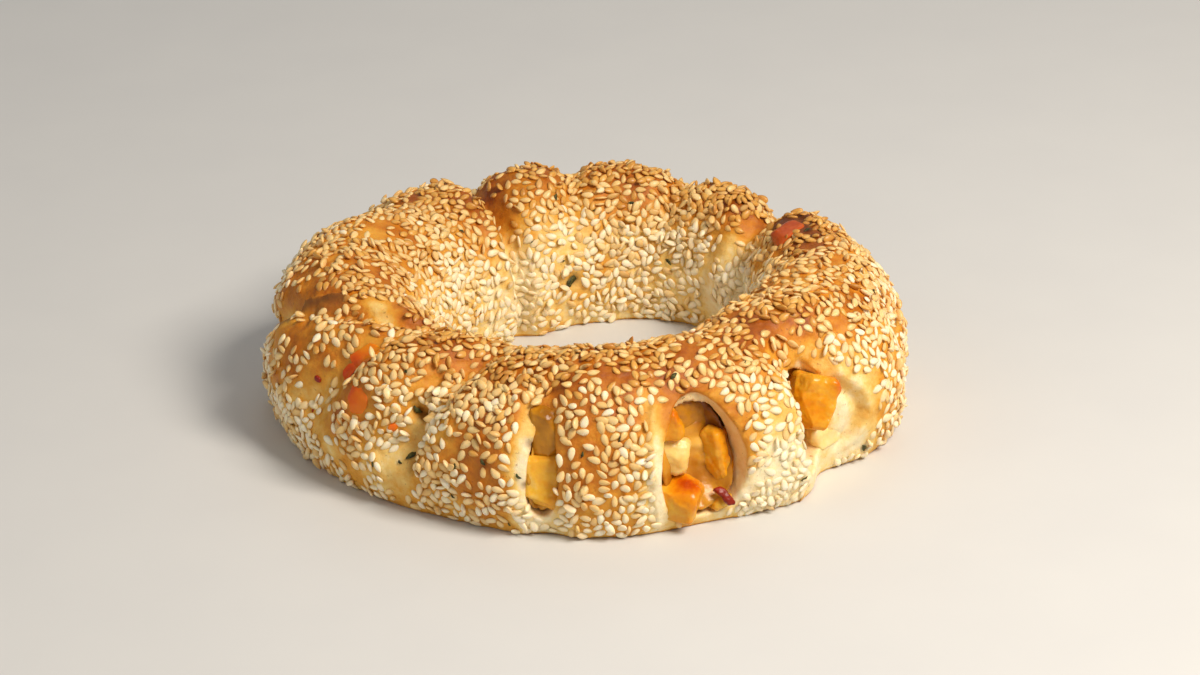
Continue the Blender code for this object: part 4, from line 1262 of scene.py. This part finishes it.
def cubeCentres(draw):
    count = int(2.0 * math.pi * fillingMesh["radius"] / fillingMesh["cube"])
    shift, wobble = fillingMesh["shift"], fillingMesh["turn"]
    centres = []
    for index in range(count):
        turn = 2.0 * math.pi * index / count
        for layer in (-1.0, 1.0):
            for row in (-1.0, 1.0):
                radius = fillingMesh["radius"] + row * fillingMesh["row"] + draw.uniform(-shift, shift)
                height = tunnel["height"] + layer * fillingMesh["layer"]
                centres.append((radius * math.cos(turn + draw.uniform(-wobble, wobble)),
                                radius * math.sin(turn + draw.uniform(-wobble, wobble)),
                                height + draw.uniform(-shift, shift)))
    return np.array(centres)


def buildFilling(materials):
    filling = copyOfNode("halloumi_filling", "halloumi_cubes_inside", materials["halloumiFilling"])
    remesh(filling, fillingMesh["voxel"], 2)
    mesh = filling.data
    points, normals = pointsAndNormals(mesh)
    draw = np.random.default_rng(fillingMesh["draw"])
    centres = cubeCentres(draw)
    nearest, second = np.full(len(points), 1e9), np.full(len(points), 1e9)
    owner = np.zeros(len(points), int)
    for index, centre in enumerate(centres):
        distance = np.linalg.norm(points - centre, axis=1)
        closer = distance < nearest
        second = np.where(closer, nearest, np.minimum(second, distance))
        nearest = np.where(closer, distance, nearest)
        owner[closer] = index
    # the skin sinks between the cubes
    seam = np.exp(-((second - nearest) / fillingMesh["grooveWidth"]) ** 2)
    movePoints(mesh, points - normals * (fillingMesh["grooveDepth"] * seam)[:, None])
    tones = draw.uniform(*fillingMesh["tones"], len(centres))
    paint(mesh, "toast", np.clip(tones[owner] + fillingMesh["grooveTone"] * seam, 0.0, 1.0))
    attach(filling, "root")
    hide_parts("halloumi_filling")
    print("filling:", len(mesh.polygons), "faces")


# Dried herb in the dough and on the crust: azimuth, section angle and length of each flake that shows,
# and how many more lie scattered, of which length.
herbs = {
    "flakes": ((93.8, 179, 5.4), (61.9, 167, 2.4), (108, 146, 1.8), (232.4, 2, 3.4), (232.6, 36, 3.0),
               (329.8, -23, 2.6), (257.2, 8, 1.8), (288.5, 64, 2.4), (98, 120, 2.0), (75, 128, 1.8),
               (269.0, 22, 1.6), (276.0, 30, 2.0), (244.5, 8, 1.8), (250.5, 14, 2.0), (310.0, -14, 2.2),
               (225.5, -6, 1.6), (181.0, 168, 2.4), (142.0, 62, 1.6), (12.0, 96, 2.0), (347.0, 52, 1.6)),
    "scattered": 26, "lengths": (0.8, 1.8), "sections": (-25.0, 190.0), "draw": 5, "steps": 9,
    "width": 0.44, "ragged": 0.25, "fullness": 0.7, "ends": (0.06, 0.97), "thickness": 0.1, "curl": 0.5,
    "lift": 0.34, "bow": 0.4, "crinkle": 0.12, "vein": 0.6, "veinRelief": (0.5, 0.06),
    "colours": ((0.3, "#24240F"), (0.52, "#45451D"), (0.7, "#6E6A30")),
}

# Red and orange bits of cheese baked into the left side: azimuth, section angle, length, tone.
crumbs = {
    "bits": ((205.2, 26, 2.4, 0.98), (205.9, 5, 1.2, 0.9), (216.6, 12, 2.6, 0.3), (228.2, 20, 3.0, 0.5),
             (212.4, 56, 2.0, 0.1)),
    "flatness": (1.0, 0.72, 0.34), "sunk": 0.3, "draw": 9, "lumps": (1.1, 0.16), "mottle": (1.0, 0.12),
}


def herbMaterial():
    # Dried oregano baked on: brittle dark green leaf, almost black where it scorched, dull.
    material, shader, place = newMaterial("driedHerb", {"Roughness": 0.62, "IOR": 1.4})
    veins = addNode(material, "ShaderNodeTexNoise", {"Scale": 1.0 / (herbs["vein"] * mm), "Detail": 4.0},
                    {"Vector": (place, "Object")})
    colour = addNode(material, "ShaderNodeValToRGB", {"stops": herbs["colours"]}, {"Fac": (veins, "Fac")})
    link(material, colour, 0, shader, "Base Color")
    strength, veinDepth = herbs["veinRelief"]
    relief = addNode(material, "ShaderNodeBump", {"Strength": strength, "Distance": veinDepth * mm},
                     {"Height": (veins, "Fac")})
    link(material, relief, 0, shader, "Normal")
    return material


def onCrust(tree, azimuth, section):
    # the place on the crust nearest to those angles, and the way out of it
    places, normals = ontoCrust(tree, crustPoints(np.array([float(azimuth)]), np.array([float(section)])))
    return places[0], normals[0]


def buildHerbs(bread):
    draw = np.random.default_rng(herbs["draw"])
    tree = BVHTree.FromObject(bread, bpy.context.evaluated_depsgraph_get())
    flakes = list(herbs["flakes"])
    for _ in range(herbs["scattered"]):
        flakes.append((draw.uniform(0.0, 360.0), draw.uniform(*herbs["sections"]),
                       draw.uniform(*herbs["lengths"])))
    points, faces = [], []
    steps = herbs["steps"]
    for azimuth, section, length in flakes:
        here, normal = onCrust(tree, azimuth, section)
        heading = unit(np.cross(normal, unit(draw.normal(size=3))))
        side = np.cross(normal, heading)
        bend = draw.uniform(-1.0, 1.0) * herbs["curl"]
        first = len(points)
        for step in range(steps + 1):
            share = step / steps
            arch = math.sin(math.pi * share)
            leaf = math.sin(math.pi * np.clip(share, *herbs["ends"])) ** herbs["fullness"]
            halfWidth = 0.5 * length * herbs["width"] * leaf
            halfWidth = halfWidth * (1.0 + herbs["ragged"] * draw.uniform(-1.0, 1.0))
            lift = herbs["lift"] + abs(bend) * arch * 0.5 * length * herbs["bow"]
            middle = here + heading * (share - 0.5) * length + side * bend * length * herbs["bow"] * arch
            for across in (-1.0, 1.0):
                for up in (-0.5, 0.5):
                    raised = lift + up * herbs["thickness"] + herbs["crinkle"] * draw.uniform(0.0, 1.0)
                    points.append(middle + side * across * halfWidth + normal * raised)
        for step in range(steps):
            low, high = first + step * 4, first + (step + 1) * 4
            for a, b in ((0, 1), (1, 3), (3, 2), (2, 0)):
                faces.append((low + a, high + a, high + b))
                faces.append((low + a, high + b, low + b))
        last = first + steps * 4
        faces += [(first, first + 1, first + 3), (first, first + 3, first + 2)]
        faces += [(last, last + 3, last + 1), (last, last + 2, last + 3)]
    piece = outward(meshObject("herb_flecks", points, faces, herbMaterial()))
    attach(piece, "root")
    print("herbs:", len(flakes), "flakes")


def buildCrumbs(bread, material):
    draw = np.random.default_rng(crumbs["draw"])
    tree = BVHTree.FromObject(bread, bpy.context.evaluated_depsgraph_get())
    work = bmesh.new()
    bmesh.ops.create_icosphere(work, subdivisions=3, radius=0.5)
    ball = np.array([vert.co for vert in work.verts])
    ballFaces = np.array([[vert.index for vert in face.verts] for face in work.faces])
    work.free()
    lumpSize, lumpHeight = crumbs["lumps"]
    mottleSize, mottle = crumbs["mottle"]
    points, faces, tones = [], [], []
    for azimuth, section, length, tone in crumbs["bits"]:
        here, normal = onCrust(tree, azimuth, section)
        heading = unit(np.cross(normal, unit(draw.normal(size=3))))
        shape = ball * crumbs["flatness"] * length
        shape = shape * (1.0 + lumpHeight * softNoise(shape + 30.0 * azimuth, lumpSize, 71)[:, None])
        up = shape[:, 2:3] + length * crumbs["flatness"][2] * (0.5 - crumbs["sunk"])
        faces.append(ballFaces + len(ball) * len(points))
        across = np.cross(normal, heading)
        points.append(here + shape[:, 0:1] * heading + shape[:, 1:2] * across + up * normal)
        tones.append(tone + mottle * softNoise(shape, mottleSize, 72))
    piece = meshObject("halloumi_bits", np.concatenate(points), np.concatenate(faces).tolist(), material)
    paint(piece.data, "toast", np.clip(np.concatenate(tones), 0.0, 1.0))
    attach(piece, "root")
    print("bits:", len(crumbs["bits"]))


# Camera, floor and light. The view is the photograph's: its frame is taken as 1200 by 675.
view = {
    "place": (3.9, -953.7, 484.2), "pitch": 26.04, "roll": -1.86, "lens": 121.2, "sensor": 36.0,
    "clip": (10.0, 20000.0),
}
studio = {
    "floorColours": ("#D3D4D4", "#D8D9D8"), "floorSize": 4000.0, "floorHeight": -0.05, "fibres": 30.0,
    "worldColour": "#F1EDE8", "worldStrength": 0.27,
    "lights": (
        # name, azimuth and height angle it shines from, distance, size, watts, colour
        ("softboxRight", 320.0, 48.0, 900.0, 340.0, 8.6, "#FFF4E6"),
        ("softboxLeft", 215.0, 32.0, 1000.0, 700.0, 1.15, "#FFFAF2"),
        ("softboxBack", 80.0, 50.0, 1100.0, 600.0, 1.0, "#FFFFFF"),
    ),
}


def buildStudio():
    # matt paper, its fibres drawn coarse enough to show
    material, shader, place = newMaterial("matPaper", {"Roughness": 0.85})
    fibres = addNode(material, "ShaderNodeTexNoise", {"Scale": 1.0 / (studio["fibres"] * mm), "Detail": 3.0},
                     {"Vector": (place, "Object")})
    darker, lighter = (linearColour(hexCode) for hexCode in studio["floorColours"])
    colour = addNode(material, "ShaderNodeMix", {"data_type": "RGBA", 6: darker, 7: lighter},
                     {0: (fibres, "Fac")})
    link(material, colour, 2, shader, "Base Color")
    half, height = studio["floorSize"] / 2.0, studio["floorHeight"]
    corners = [(-half, -half, height), (half, -half, height), (half, half, height), (-half, half, height)]
    floor = meshObject("floor", corners, [(0, 1, 2, 3)], material)
    world = bpy.data.worlds.new("paleRoom")
    world.use_nodes = True
    background = world.node_tree.nodes["Background"]
    background.inputs["Color"].default_value = linearColour(studio["worldColour"])
    background.inputs["Strength"].default_value = studio["worldStrength"]
    bpy.context.scene.world = world
    for name, azimuth, height, distance, size, power, hexCode in studio["lights"]:
        lamp = bpy.data.lights.new(name, "AREA")
        lamp.size = size * mm
        lamp.energy = power
        lamp.color = linearColour(hexCode)[:3]
        light = bpy.data.objects.new(name, lamp)
        turn, rise = math.radians(azimuth), math.radians(height)
        away = Vector((math.cos(turn) * math.cos(rise), math.sin(turn) * math.cos(rise), math.sin(rise)))
        light.location = away * distance * mm
        light.rotation_mode = "QUATERNION"
        light.rotation_quaternion = away.to_track_quat("Z", "Y")
        bpy.context.scene.collection.objects.link(light)
    print("studio:", len(studio["lights"]), "lights")


def buildCamera():
    pitch, roll = math.radians(view["pitch"]), math.radians(view["roll"])
    forward = Vector((0.0, math.cos(pitch), -math.sin(pitch)))
    level = Vector((1.0, 0.0, 0.0))
    upright = level.cross(forward)
    right = level * math.cos(roll) + upright * math.sin(roll)
    up = upright * math.cos(roll) - level * math.sin(roll)
    data = bpy.data.cameras.new("camera")
    data.lens = view["lens"]
    data.sensor_width = view["sensor"]
    data.clip_start, data.clip_end = (distance * mm for distance in view["clip"])
    camera = bpy.data.objects.new("camera", data)
    place = Matrix((right, up, -forward)).transposed().to_4x4()
    place.translation = Vector(view["place"]) * mm
    camera.matrix_world = place
    bpy.context.scene.collection.objects.link(camera)
    bpy.context.scene.camera = camera


bpy.context.scene.view_settings.view_transform = "Standard"
buildCamera()
buildStudio()
bread = buildBread()
materials = {name: cheeseMaterial(name, settings) for name, settings in cheeseFinish.items()}
buildCheese(materials)
buildMelted(materials)
buildFilling(materials)
buildSeeds(bread)
buildHerbs(bread)
buildCrumbs(bread, materials["halloumiGlazed"])
